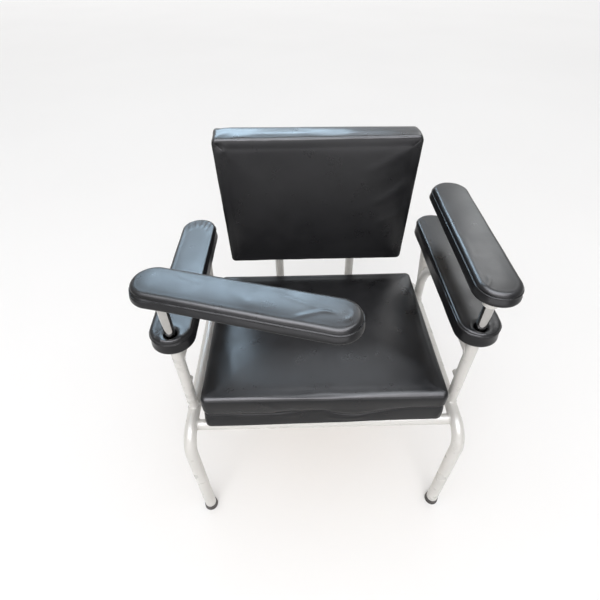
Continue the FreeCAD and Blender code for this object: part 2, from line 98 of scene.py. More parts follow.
def white_paint():
    m, nt, b = new_mat("white_powder_coat")
    v = tex_coord(nt)
    col = ramp(nt, noise_tex(nt, v, 9.0, 3.0), [(0.3, (0.55, 0.54, 0.515)), (0.7, (0.60, 0.585, 0.56))])
    nt.links.new(col, b.inputs["Base Color"])
    nt.links.new(span(nt, noise_tex(nt, v, 30.0, 3.0), 0.24, 0.36, 0.3, 0.7), b.inputs["Roughness"])
    b.inputs["Coat Weight"].default_value = 0.10
    b.inputs["Coat Roughness"].default_value = 0.15
    b.inputs["Specular IOR Level"].default_value = 0.35
    bump(nt, b, noise_tex(nt, v, 420.0, 2.0), 0.10, 0.0004)
    return m


def chrome():
    m, nt, b = new_mat("polished_chrome")
    v = tex_coord(nt)
    b.inputs["Metallic"].default_value = 1.0
    col = ramp(nt, noise_tex(nt, v, 40.0, 2.0), [(0.3, (0.40, 0.39, 0.375)), (0.7, (0.47, 0.46, 0.445))])
    nt.links.new(col, b.inputs["Base Color"])
    nt.links.new(span(nt, noise_tex(nt, v, 90.0, 3.0), 0.03, 0.08, 0.3, 0.7), b.inputs["Roughness"])
    return m


def zinc():
    m, nt, b = new_mat("zinc_plate")
    v = tex_coord(nt)
    b.inputs["Metallic"].default_value = 1.0
    col = ramp(nt, noise_tex(nt, v, 160.0, 3.0), [(0.3, (0.50, 0.51, 0.52)), (0.7, (0.66, 0.66, 0.65))])
    nt.links.new(col, b.inputs["Base Color"])
    nt.links.new(span(nt, noise_tex(nt, v, 300.0, 2.0), 0.28, 0.45, 0.3, 0.7), b.inputs["Roughness"])
    bump(nt, b, noise_tex(nt, v, 900.0, 2.0), 0.06, 0.0003)
    return m


def vinyl(name, tint=1.0):
    """Black coated fabric: fine pebbled grain, soft sheen."""
    m, nt, b = new_mat(name)
    v = tex_coord(nt)
    lo, hi = 0.0050 * tint, 0.0075 * tint
    col = ramp(nt, noise_tex(nt, v, 14.0, 4.0), [(0.3, (lo, lo, lo * 1.18)), (0.7, (hi, hi, hi * 1.14))])
    nt.links.new(col, b.inputs["Base Color"])
    nt.links.new(span(nt, noise_tex(nt, v, 22.0, 4.0, 0.6), 0.26, 0.36, 0.3, 0.7), b.inputs["Roughness"])
    b.inputs["Specular IOR Level"].default_value = 0.25
    vor = nt.nodes.new("ShaderNodeTexVoronoi")
    vor.feature = "SMOOTH_F1"
    vor.inputs["Scale"].default_value = 850.0
    nt.links.new(v, vor.inputs["Vector"])
    soft = bump(nt, b, noise_tex(nt, v, 45.0, 0.0), 0.08, 0.0010)
    bump(nt, b, vor.outputs["Distance"], 0.10, 0.0002, soft)
    return m


def rubber():
    m, nt, b = new_mat("foot_rubber")
    v = tex_coord(nt)
    col = ramp(nt, noise_tex(nt, v, 120.0, 3.0), [(0.3, (0.022, 0.019, 0.017)), (0.7, (0.045, 0.038, 0.034))])
    nt.links.new(col, b.inputs["Base Color"])
    nt.links.new(span(nt, noise_tex(nt, v, 200.0, 3.0), 0.5, 0.75, 0.3, 0.7), b.inputs["Roughness"])
    bump(nt, b, noise_tex(nt, v, 700.0, 3.0), 0.15, 0.0004)
    return m


def moulded(name, lo, hi, r0, r1):
    m, nt, b = new_mat(name)
    v = tex_coord(nt)
    nt.links.new(ramp(nt, noise_tex(nt, v, 60.0, 3.0), [(0.3, lo), (0.7, hi)]), b.inputs["Base Color"])
    nt.links.new(span(nt, noise_tex(nt, v, 150.0, 3.0), r0, r1, 0.3, 0.7), b.inputs["Roughness"])
    bump(nt, b, noise_tex(nt, v, 600.0, 2.0), 0.08, 0.0003)
    return m


def plywood():
    m, nt, b = new_mat("plywood")
    v = tex_coord(nt)
    mp = nt.nodes.new("ShaderNodeMapping")
    mp.inputs["Scale"].default_value = (2.2, 9.0, 0.6)
    nt.links.new(v, mp.inputs["Vector"])
    w = nt.nodes.new("ShaderNodeTexWave")
    w.inputs["Scale"].default_value = 11.0
    w.inputs["Distortion"].default_value = 5.0
    w.inputs["Detail"].default_value = 4.0
    nt.links.new(mp.outputs["Vector"], w.inputs["Vector"])
    col = ramp(nt, w.outputs["Fac"], [(0.1, (0.43, 0.30, 0.175)), (0.6, (0.50, 0.36, 0.215)), (0.95, (0.54, 0.395, 0.24))])
    nt.links.new(col, b.inputs["Base Color"])
    nt.links.new(span(nt, noise_tex(nt, v, 80.0, 3.0), 0.55, 0.75, 0.3, 0.7), b.inputs["Roughness"])
    bump(nt, b, w.outputs["Fac"], 0.12, 0.0005)
    return m


def foam_mat():
    m, nt, b = new_mat("foam")
    v = tex_coord(nt)
    nt.links.new(ramp(nt, noise_tex(nt, v, 200.0, 3.0), [(0.3, (0.72, 0.66, 0.45)), (0.7, (0.82, 0.77, 0.58))]), b.inputs["Base Color"])
    nt.links.new(span(nt, noise_tex(nt, v, 150.0, 2.0), 0.8, 0.95, 0.3, 0.7), b.inputs["Roughness"])
    bump(nt, b, noise_tex(nt, v, 900.0, 2.0), 0.3, 0.0006)
    return m


MAT = {
    "white_frame": white_paint(),
    "chrome_stem": chrome(),
    "zinc_fasteners": zinc(),
    "black_vinyl": vinyl("black_vinyl"),
    "foam": foam_mat(),
    "plywood": plywood(),
    "nylon": moulded("nylon", (0.60, 0.59, 0.55), (0.70, 0.69, 0.64), 0.35, 0.5),
    "black_plastic": moulded("black_plastic", (0.018, 0.018, 0.018), (0.035, 0.035, 0.034), 0.35, 0.5),
    "foot_rubber": rubber(),
}


def slot_of(n):
    if n.endswith("_foot_cap"):
        return "foot_rubber"
    if n.endswith("_cover"):
        return "black_vinyl"
    if n.endswith("_foam"):
        return "foam"
    if n.endswith("_board"):
        return "plywood"
    if n in ("left_stem", "right_stem"):
        return "chrome_stem"
    if n.endswith(("_screws", "_bolts", "_swivel_screw", "_stem_insert", "_clamp_screw")):
        return "zinc_fasteners"
    if n == "guide_bushes" or n.endswith(("_swivel_washer", "_stem_glide")):
        return "nylon"
    if n == "upright_end_plugs":
        return "black_plastic"
    return "white_frame"


for node_name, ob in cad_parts.items():
    if ob.type != "MESH":
        continue
    mat = MAT[slot_of(node_name)]
    if len(ob.material_slots) == 0:
        ob.data.materials.append(mat)
    for sl in ob.material_slots:
        sl.material = mat


# ------------------------------------------------------------------ pad meshes
# A pad is built in its own frame, in mm: x across, y along, w up from the underside of
# its board. Its mesh is one grid over the top panel, loops of points down the side, and
# one grid underneath, so a seam is a loop of points and stays sharp.
def offset_quad(c, d):
    """Four corners, counter-clockwise, moved inwards by d."""
    out = []
    n = len(c)
    for i in range(n):
        p0, p1, p2 = (np.array(c[(i + k - 1) % n], float) for k in range(3))
        a = (p1 - p0) / np.linalg.norm(p1 - p0)
        b = (p2 - p1) / np.linalg.norm(p2 - p1)
        na, nb = np.array([-a[1], a[0]]), np.array([-b[1], b[0]])
        out.append(p1 + (na + nb) / (1.0 + na @ nb) * d)
    return out


def outline(c, r, inset, na, ns):
    """Rounded quad as a closed loop that starts in the middle of the first corner's arc."""
    P = offset_quad(c, inset)
    rr = max(r - inset, 1.0)
    arcs = []
    for i in range(4):
        p0, p1, p2 = P[i - 1], P[i], P[(i + 1) % 4]
        u, w = p0 - p1, p2 - p1
        lu, lw = np.linalg.norm(u), np.linalg.norm(w)
        u, w = u / lu, w / lw
        half = math.acos(max(-1.0, min(1.0, float(u @ w)))) / 2.0
        ctr = p1 + (u + w) / np.linalg.norm(u + w) * (rr / math.sin(half))
        q1 = p1 + u * (rr / math.tan(half))
        q2 = p1 + w * (rr / math.tan(half))
        a1 = math.atan2(q1[1] - ctr[1], q1[0] - ctr[0])
        a2 = math.atan2(q2[1] - ctr[1], q2[0] - ctr[0])
        while a2 < a1:
            a2 += 2 * math.pi
        t = np.linspace(a1, a2, na + 1)
        arcs.append(ctr + rr * np.stack([np.cos(t), np.sin(t)], 1))
    h = na // 2
    loop = []
    for i in range(4):
        nxt = (i + 1) % 4
        n = ns[i]
        loop += list(arcs[i][h:])
        if n > 0:
            a, b = arcs[i][-1], arcs[nxt][0]
            loop += [a + (b - a) * k / n for k in range(1, n)]
            loop += list(arcs[nxt][:h])
        else:
            loop += list(arcs[nxt][1:h])
    return np.array(loop)


def fill(loop, nx, ny, fixed=None, smooth=60):
    """Grid inside a loop of 2(nx+ny) points; fixed holds some of its points in place."""
    N = len(loop)
    G = np.zeros((ny + 1, nx + 1, 2))
    for i in range(nx + 1):
        G[0, i] = loop[i]
        G[ny, i] = loop[nx + ny + nx - i]
    for j in range(ny + 1):
        G[j, nx] = loop[nx + j]
        G[j, 0] = loop[(N - j) % N]
    u = np.linspace(0, 1, nx + 1)[None, :, None]
    v = np.linspace(0, 1, ny + 1)[:, None, None]
    B, T, L, R = G[0][None], G[ny][None], G[:, 0][:, None], G[:, nx][:, None]
    C = ((1 - v) * B + v * T + (1 - u) * L + u * R
         - ((1 - u) * (1 - v) * G[0, 0] + u * (1 - v) * G[0, nx] + (1 - u) * v * G[ny, 0] + u * v * G[ny, nx]))
    C[0], C[ny], C[:, 0], C[:, nx] = G[0], G[ny], G[:, 0], G[:, nx]
    keep = np.zeros((ny + 1, nx + 1), bool)
    keep[0] = keep[ny] = keep[:, 0] = keep[:, nx] = True
    for (j, i), p in (fixed or {}).items():
        C[j, i] = p
        keep[j, i] = True
    for _ in range(smooth):
        S = C.copy()
        S[1:-1, 1:-1] = 0.25 * (C[:-2, 1:-1] + C[2:, 1:-1] + C[1:-1, :-2] + C[1:-1, 2:])
        C = np.where(keep[..., None], C, S)
    return C


def ring_cells(k):
    """Grid steps (row, column) of the square ring k cells out, counter-clockwise."""
    return ([(-k, i) for i in range(-k, k)] + [(j, k) for j in range(-k, k)]
            + [(k, i) for i in range(k, -k, -1)] + [(j, -k) for j in range(k, -k, -1)])


class Pad:
    def __init__(self, corners, r, na, ns, rows, crown, crown_run, hole=None, tip=None, top_n=0):
        """rows: (inset, height) from the top panel's border over the rim, down the side
        and under to the lip. hole: x, y, radii, ring size. tip(x, y) from 0 to 1 is where
        the rows on top, up to row top_n, draw outwards to leave room for the hole."""
        nx, ny = na + ns[0], na + ns[1]
        N = 2 * (nx + ny)
        self.nx, self.ny, self.N, self.rows, self.corners, self.r = nx, ny, N, rows, corners, r
        base = outline(corners, r, 0.0, na, ns)
        nxt, prv = np.roll(base, -1, 0), np.roll(base, 1, 0)
        self.s = np.concatenate([[0], np.cumsum(np.linalg.norm(nxt - base, axis=1))])[:-1]
        tan = nxt - prv
        tan /= np.linalg.norm(tan, axis=1)[:, None]
        self.out = np.stack([tan[:, 1], -tan[:, 0]], 1)
        self.base = base
        q = np.array([tip(*p) for p in base]) if tip else np.zeros(N)

        verts, self.row = [], []
        ins = np.array([a for a, _ in rows])
        hts = np.array([b for _, b in rows])
        for k, (inset, w) in enumerate(rows):
            L = outline(corners, r, inset, na, ns)
            z = np.full(N, float(w))
            if tip and k <= top_n:
                lo = ins[top_n]
                near = lo + (inset - lo) * 0.32
                L = L * (1 - q[:, None]) + outline(corners, r, near, na, ns) * q[:, None]
                d = inset + (near - inset) * q
                z = np.interp(d, ins[: top_n + 1][::-1], hts[: top_n + 1][::-1])
            self.row.append(np.c_[L, z])
        self.R = len(rows)

        def idx_grid(C, W, loop_start, start):
            """Indices of a grid whose border is a loop that exists already."""
            I = np.full((ny + 1, nx + 1), -1, int)
            for i in range(nx + 1):
                I[0, i] = loop_start + i
                I[ny, i] = loop_start + nx + ny + nx - i
            for j in range(ny + 1):
                I[j, nx] = loop_start + nx + j
                I[j, 0] = loop_start + (N - j) % N
            new = []
            for j in range(1, ny):
                for i in range(1, nx):
                    if (j, i) in inside:
                        continue
                    I[j, i] = start + len(new)
                    new.append((*C[j, i], W[j, i]))
            return I, new

        verts = [tuple(p) for L in self.row for p in L]
        faces = []
        for k in range(self.R - 1):
            for i in range(N):
                j = (i + 1) % N
                faces.append((k * N + j, k * N + i, (k + 1) * N + i, (k + 1) * N + j))
        self.top_idx = self.bot_idx = None
        inside, ring = set(), []
        for which in (0, 1):
            L = self.row[0] if which == 0 else self.row[-1]
            if hole and which == 0:
                C0 = fill(L[:, :2], nx, ny)
                d = np.hypot(C0[..., 0] - hole["x"], C0[..., 1] - hole["y"])
                j0, i0 = np.unravel_index(np.argmin(d), d.shape)
                k = hole["k"]
                ring = [(j0 + dj, i0 + di) for dj, di in ring_cells(k)]
                inside = {(j, i) for j in range(j0 - k + 1, j0 + k) for i in range(i0 - k + 1, i0 + k)}
            fixed = {}
            for n_, c in enumerate(ring):
                a = -0.75 * math.pi + 2 * math.pi * n_ / len(ring)
                fixed[c] = (hole["x"] + hole["r"][which] * math.cos(a), hole["y"] + hole["r"][which] * math.sin(a))
            C = fill(L[:, :2], nx, ny, fixed, 500 if hole else 60)
            if which == 0:
                d = self.depth(C[..., 0], C[..., 1])
                t = np.clip((d - ins[0]) / crown_run, 0, 1)
                W = hts[0] + crown * (1 - (1 - t) ** 2)
                if tip:
                    W = np.where(d < ins[0], np.interp(d, ins[: top_n + 1][::-1], hts[: top_n + 1][::-1]), W)
                for c in ring:
                    W[c] -= hole["roll"]
            else:
                W = np.full((ny + 1, nx + 1), float(hts[-1]))
            I, new = idx_grid(C, W, 0 if which == 0 else (self.R - 1) * N, len(verts))
            verts += new
            for j in range(ny):
                for i in range(nx):
                    f = (I[j, i], I[j, i + 1], I[j + 1, i + 1], I[j + 1, i])
                    if min(f) < 0 or (hole and all(((j + a, i + b) in inside or (j + a, i + b) in ring) for a in (0, 1) for b in (0, 1)) and self._in_ring(j, i, j0, i0, hole["k"])):
                        continue
                    faces.append(f if which == 0 else f[::-1])
            if which == 0:
                self.top_idx, self.top_xy = I, C
            else:
                self.bot_idx = I
        self.wall = []
        if hole:
            loops = [[self.top_idx[c] for c in ring]]
            wt, wb = verts[loops[0][0]][2], hts[-1]
            for rad, w in hole["wall"]:
                cur = []
                for n_ in range(len(ring)):
                    a = -0.75 * math.pi + 2 * math.pi * n_ / len(ring)
                    cur.append(len(verts))
                    verts.append((hole["x"] + rad * math.cos(a), hole["y"] + rad * math.sin(a), w))
                loops.append(cur)
                self.wall.append(cur)
            loops.append([self.bot_idx[c] for c in ring])
            for a, b in zip(loops[:-1], loops[1:]):
                for n_ in range(len(ring)):
                    m_ = (n_ + 1) % len(ring)
                    faces.append((a[n_], a[m_], b[m_], b[n_]))
        self.v = np.array(verts, float)
        self.f = faces
        self.n_side = self.R * N

    @staticmethod
    def _in_ring(j, i, j0, i0, k):
        return j0 - k <= j < j0 + k and i0 - k <= i < i0 + k

    def depth(self, x, y):
        """How far inside the outline a place on the plan is."""
        core = offset_quad(self.corners, min(self.r, self.half() - 0.01))
        d = np.full(np.shape(x), 1e9)
        for i in range(4):
            p0, p1 = np.array(self.corners[i], float), np.array(self.corners[(i + 1) % 4], float)
            a = (p1 - p0) / np.linalg.norm(p1 - p0)
            d = np.minimum(d, -(x - p0[0]) * a[1] + (y - p0[1]) * a[0])
        if self.r > 40:
            ys = [c[1] for c in core]
            xm = 0.5 * (core[0][0] + core[1][0])
            yy = np.clip(y, min(ys), max(ys))
            d = self.r - np.hypot(x - xm, y - yy)
        return d

    def half(self):
        c = np.array(self.corners, float)
        return min(np.linalg.norm(c[1] - c[0]), np.linalg.norm(c[2] - c[1])) / 2.0

    def side_of(self, k):
        """Slice of the points of row k."""
        return slice(k * self.N, (k + 1) * self.N)


def make_object(name, v_mm, faces, mat):
    me = bpy.data.meshes.new(name)
    me.from_pydata([tuple(p) for p in (np.asarray(v_mm) / 1000.0)], [], [tuple(int(i) for i in f) for f in faces])
    me.update()
    ob = bpy.data.objects.new(name, me)
    bpy.context.scene.collection.objects.link(ob)
    me.materials.append(mat)
    me.polygons.foreach_set("use_smooth", [True] * len(me.polygons))
    return ob


def read_mm(mesh):
    a = np.zeros(len(mesh.vertices) * 3, np.float32)
    mesh.vertices.foreach_get("co", a)
    return a.reshape(-1, 3).astype(float) * 1000.0


def relax(d, faces, hold, times):
    """Average a movement over each point's neighbours, to leave out single crumpled points."""
    f = np.array(faces)
    e = np.vstack([f[:, [0, 1]], f[:, [1, 2]], f[:, [2, 3]], f[:, [3, 0]]])
    e = np.vstack([e, e[:, ::-1]])
    n = np.zeros(len(d))
    np.add.at(n, e[:, 0], 1.0)
    for _ in range(times):
        a = np.zeros_like(d)
        np.add.at(a, e[:, 0], d[e[:, 1]])
        d = d + (a / np.maximum(n, 1.0)[:, None] - d) * (0.8 * (1.0 - hold))[:, None]
    return d


def puff(pad, pins, grow=0.0, pressure=4.0, cap=6.0, frames=20, stiff=15.0, bend=1.0, grow_map=None, smooth=14):
    """Inflate the pad with a cloth simulation; returns each point's movement in mm."""
    ob = make_object("sim", pad.v, pad.f, MAT["black_vinyl"])
    g = ob.vertex_groups.new(name="pin")
    for w in sorted(set(np.round(pins, 3))):
        if w > 0:
            g.add([int(i) for i in np.nonzero(np.round(pins, 3) == w)[0]], float(w), "REPLACE")
    mod = ob.modifiers.new("cloth", "CLOTH")
    c = mod.settings
    c.quality = 6
    c.mass = 0.35
    c.tension_stiffness = stiff
    c.compression_stiffness = stiff
    c.shear_stiffness = stiff * 0.6
    c.bending_stiffness = bend
    c.tension_damping = 5.0
    c.compression_damping = 5.0
    c.shear_damping = 5.0
    c.air_damping = 2.0
    c.vertex_group_mass = "pin"
    c.pin_stiffness = 1.0
    c.use_pressure = True
    c.uniform_pressure_force = pressure
    if grow_map is not None:
        h = ob.vertex_groups.new(name="grow")
        for w in sorted(set(np.round(grow_map, 2))):
            if w > 0:
                h.add([int(i) for i in np.nonzero(np.round(grow_map, 2) == w)[0]], float(w), "REPLACE")
        c.vertex_group_shrink = "grow"
        c.shrink_min = 0.0
        c.shrink_max = -grow
    else:
        c.shrink_min = -grow
    c.effector_weights.gravity = 0.0
    mod.collision_settings.use_self_collision = False
    mod.point_cache.frame_start = 1
    mod.point_cache.frame_end = frames
    sc = bpy.context.scene
    for f in range(1, frames + 1):
        sc.frame_set(f)
    ev = ob.evaluated_get(bpy.context.evaluated_depsgraph_get())
    m = ev.to_mesh()
    p = read_mm(m)
    ev.to_mesh_clear()
    sc.frame_set(1)
    me = ob.data
    bpy.data.objects.remove(ob, do_unlink=True)
    bpy.data.meshes.remove(me)
    d = p - pad.v
    n = np.linalg.norm(d, axis=1)
    n = np.where(np.isfinite(n), n, 0)
    d = np.nan_to_num(d)
    k = np.where(n > 1e-6, cap * np.tanh(n / cap) / np.maximum(n, 1e-6), 1.0)
    print("sim moved up to %.1f mm, mean %.2f" % (n.max(), n.mean()))
    return relax(d * k[:, None], pad.f, pins, smooth)


def normals(v, faces):
    """Point normals of a quad mesh."""
    f = np.array(faces)
    n = np.cross(v[f[:, 2]] - v[f[:, 0]], v[f[:, 3]] - v[f[:, 1]])
    out = np.zeros_like(v)
    for k in range(4):
        np.add.at(out, f[:, k], n)
    return out / np.maximum(np.linalg.norm(out, axis=1), 1e-9)[:, None]


def fold(p, a, b, width, height, sharp=1.0, ends=0.25):
    """A soft ridge along a line from a to b, for points p in the same two coordinates."""
    a, b = np.array(a, float), np.array(b, float)
    e = b - a
    L = np.linalg.norm(e)
    e /= L
    t = (p - a) @ e / L
    off = (p - a) @ np.array([-e[1], e[0]])
    run = np.clip(np.minimum(t, 1 - t) / ends + 0.0, 0, 1)
    run = run * run * (3 - 2 * run)
    prof = np.exp(-(np.abs(off) / width) ** (2 * sharp))
    return height * prof * run


def arc_fold(p, c, rad, a0, a1, width, height, ends=0.3):
    """A soft ridge along an arc, angles in degrees."""
    d = p - np.array(c, float)
    r = np.hypot(d[:, 0], d[:, 1])
    a = np.degrees(np.arctan2(d[:, 1], d[:, 0]))
    t = ((a - a0) % 360.0) / ((a1 - a0) % 360.0)
    run = np.clip(np.minimum(t, 1 - t) / ends, 0, 1)
    run = np.where(t > 1, 0, run)
    run = run * run * (3 - 2 * run)
    return height * np.exp(-((r - rad) / width) ** 2) * run


def wander(n, seed, step, amount):
    """A smooth, seeded, closed wave of n values."""
    out = np.array([noise.noise(Vector((math.cos(2 * math.pi * i / n) * step, math.sin(2 * math.pi * i / n) * step, seed * 7.31))) for i in range(n)])
    return out * amount


def field(p, scale, seed, amount, stretch=(1.0, 1.0, 1.0)):
    """Smooth seeded noise at points p (mm)."""
    q = p * np.array(stretch) / scale
    return np.array([noise.noise(Vector((a[0] + seed * 3.7, a[1] - seed * 1.9, a[2] + seed * 5.3))) for a in q]) * amount


def tube_loop(path, radius, sides=6, closed=True):
    """Points and faces of a tube round a path (mm)."""
    P = np.asarray(path, float)
    n = len(P)
    if closed:
        T = np.roll(P, -1, 0) - np.roll(P, 1, 0)
    else:
        T = np.gradient(P, axis=0)
    T /= np.linalg.norm(T, axis=1)[:, None]
    up = np.array([0.0, 0.0, 1.0])
    rad = np.full(n, radius) if np.isscalar(radius) else np.asarray(radius)
    verts, faces = [], []
    U = None
    for i in range(n):
        a = up - T[i] * (up @ T[i])
        if np.linalg.norm(a) < 0.3:
            a = np.array([1.0, 0, 0]) - T[i] * T[i][0] if U is None else U - T[i] * (U @ T[i])
        a /= np.linalg.norm(a)
        if U is not None and a @ U < 0:
            a = -a
        U = a
        b = np.cross(T[i], a)
        for k in range(sides):
            t = 2 * math.pi * k / sides
            verts.append(P[i] + rad[i] * (a * math.cos(t) + b * math.sin(t)))
    m = n if closed else n - 1
    for i in range(m):
        j = (i + 1) % n
        for k in range(sides):
            l = (k + 1) % sides
            faces.append((i * sides + k, i * sides + l, j * sides + l, j * sides + k))
    if not closed:
        faces.append(tuple(range(sides))[::-1])
        faces.append(tuple((n - 1) * sides + k for k in range(sides)))
    return np.array(verts), faces


def finish_pad(name, v, faces, place, mat, extra=(), levels=1):
    """Subdivide, join the piping, put it in its place and return the object."""
    ob = make_object(name, v, faces, mat)
    if levels:
        mod = ob.modifiers.new("sub", "SUBSURF")
        mod.levels = mod.render_levels = levels
        me = bpy.data.meshes.new_from_object(ob.evaluated_get(bpy.context.evaluated_depsgraph_get()))
        old = ob.data
        ob.modifiers.clear()
        ob.data = me
        bpy.data.meshes.remove(old)
    me = ob.data
    if extra:
        V = read_mm(me)
        F = [tuple(p.vertices) for p in me.polygons]
        for ev, ef in extra:
            F += [tuple(i + len(V) for i in f) for f in ef]
            V = np.vstack([V, ev])
        new = bpy.data.meshes.new(name)
        new.from_pydata([tuple(p) for p in V / 1000.0], [], F)
        new.update()
        new.materials.append(mat)
        ob.data = new
        bpy.data.meshes.remove(me)
        me = new
    me.polygons.foreach_set("use_smooth", [True] * len(me.polygons))
    me.transform(place)
    me.update()
    return ob


# ------------------------------------------------------------------ the pads
def pins_for(pad, side):
    """Pin weights: side gives one weight per row, the underside and hole are held."""
    w = np.zeros(len(pad.v))
    for k in range(pad.R):
        w[pad.side_of(k)] = side[k]
    b = pad.bot_idx[pad.bot_idx >= 0]
    w[b] = 1.0
    for loop in pad.wall:
        w[loop] = 1.0
    return w


def rows_of(pad):
    """For each point: its row on the side, or -1 on top, or 99 underneath."""
    r = np.full(len(pad.v), -1)
    b = pad.bot_idx[pad.bot_idx >= 0]
    r[b] = 99
    for k in range(pad.R):
        r[pad.side_of(k)] = k
    for loop in pad.wall:
        r[loop] = 98
    return r


def curve_through(pts, per=10):
    """Points on a smooth line through pts."""
    P = np.array(pts, float)
    if len(P) == 2:
        return P[0] + (P[1] - P[0]) * np.linspace(0, 1, per + 1)[:, None]
    Q = np.vstack([2 * P[0] - P[1], P, 2 * P[-1] - P[-2]])
    out = []
    for i in range(1, len(Q) - 2):
        for t in np.linspace(0, 1, per, endpoint=False):
            out.append(0.5 * (2 * Q[i] + (Q[i + 1] - Q[i - 1]) * t + (2 * Q[i - 1] - 5 * Q[i] + 4 * Q[i + 1] - Q[i + 2]) * t * t
                              + (3 * Q[i] - Q[i - 1] - 3 * Q[i + 1] + Q[i + 2]) * t ** 3))
    out.append(P[-1])
    return np.array(out)


def path_fold(p, pts, width, height, ends=0.25, valley=0.0):
    """A soft ridge along a bent line; valley sinks the strip on its left-hand side."""
    c = curve_through(pts)
    a, b = c[:-1], c[1:]
    e = b - a
    L = np.linalg.norm(e, axis=1)
    acc = np.concatenate([[0], np.cumsum(L)])
    u = e / L[:, None]
    rel = p[:, None, :] - a[None]
    t = np.clip((rel * u[None]).sum(2), 0, L[None])
    off = rel - t[..., None] * u[None]
    d = np.linalg.norm(off, axis=2)
    k = d.argmin(1)
    i = np.arange(len(p))
    s = (acc[k] + t[i, k]) / acc[-1]
    d = d[i, k]
    cross = u[k, 0] * rel[i, k, 1] - u[k, 1] * rel[i, k, 0]
    run = np.clip(np.minimum(s, 1 - s) / ends, 0, 1)
    run = run * run * (3 - 2 * run)
    h = np.exp(-(d / width) ** 2)
    if valley:
        sd = np.where(cross >= 0, d, -d)
        h = h - valley * np.exp(-((sd - 1.5 * width) / width) ** 2)
    return height * h * run


def bowl(p, c, rad, depth):
    d = np.hypot(p[:, 0] - c[0], p[:, 1] - c[1])
    return depth * np.exp(-(d / rad) ** 2)


def place_of(*steps):
    m = Matrix.Identity(4)
    for s in steps:
        m = m @ s
    return m


def shift(x, y, z):
    return Matrix.Translation(Vector((x, y, z)) / 1000.0)


def draw_arm(name, place, seed, folds):
    rows = [
        (17.0, 30.1), (12.9, 30.0), (9.9, 29.6), (7.6, 28.6), (5.8, 27.0), (4.2, 24.8), (2.8, 22.3),
        (3.4, 21.2), (4.6, 20.6), (3.6, 20.1), (2.8, 19.5), (3.6, 18.9), (4.0, 18.4), (2.8, 17.9),
        (2.7, 16.9), (2.2, 15.5), (1.4, 13.6), (0.5, 11.4), (-0.4, 8.8), (-1.2, 5.8), (-1.1, 3.4),
        (0.4, 1.4), (2.4, 0.3), (5.0, 0.0), (12.0, 0.0), (12.3, 1.7),
    ]
    pad = Pad([(-46, -46), (46, -46), (46, 386), (-46, 386)], 46.0, 20, (0, 62, 0, 62), rows, 0.7, 29.0)
    side = [0, 0, 0.05, 0.15, 0.4, 0.8, 0.95, 1, 1, 1, 1, 1, 1, 0.95, 0.7, 0.4, 0.2, 0.15, 0.25, 0.5, 0.8, 0.95, 1, 1, 1, 1]
    d = puff(pad, pins_for(pad, side), grow=0.003, pressure=4.0, cap=2.2)
    v = pad.v + 0.2 * d
    r = rows_of(pad)
    nrm = normals(v, pad.f)
    # the top panel's edge stands proud of the seam, a little unevenly
    wave = wander(pad.N, seed, 7.0, 0.5)
    for k, a in ((2, 0.3), (3, 0.6), (4, 0.7), (5, 0.5)):
        v[pad.side_of(k)] += nrm[pad.side_of(k)] * (a * wave)[:, None]
    seam = wander(pad.N, seed + 3, 6.0, 0.7) + wander(pad.N, seed + 4, 16.0, 0.35)
    for k in range(6, 14):
        v[pad.side_of(k), 2] += seam
    v, sag = folds(pad, v, nrm, r)
    # piping along the seam
    k = 10
    path = v[pad.side_of(k)].copy()
    path[:, :2] += pad.out * 0.5
    piping = tube_loop(path, 1.2 + 0.1 * wander(pad.N, seed + 5, 30.0, 1.0), 8)
    return finish_pad(name, v, pad.f, place, MAT["black_vinyl"], [piping])


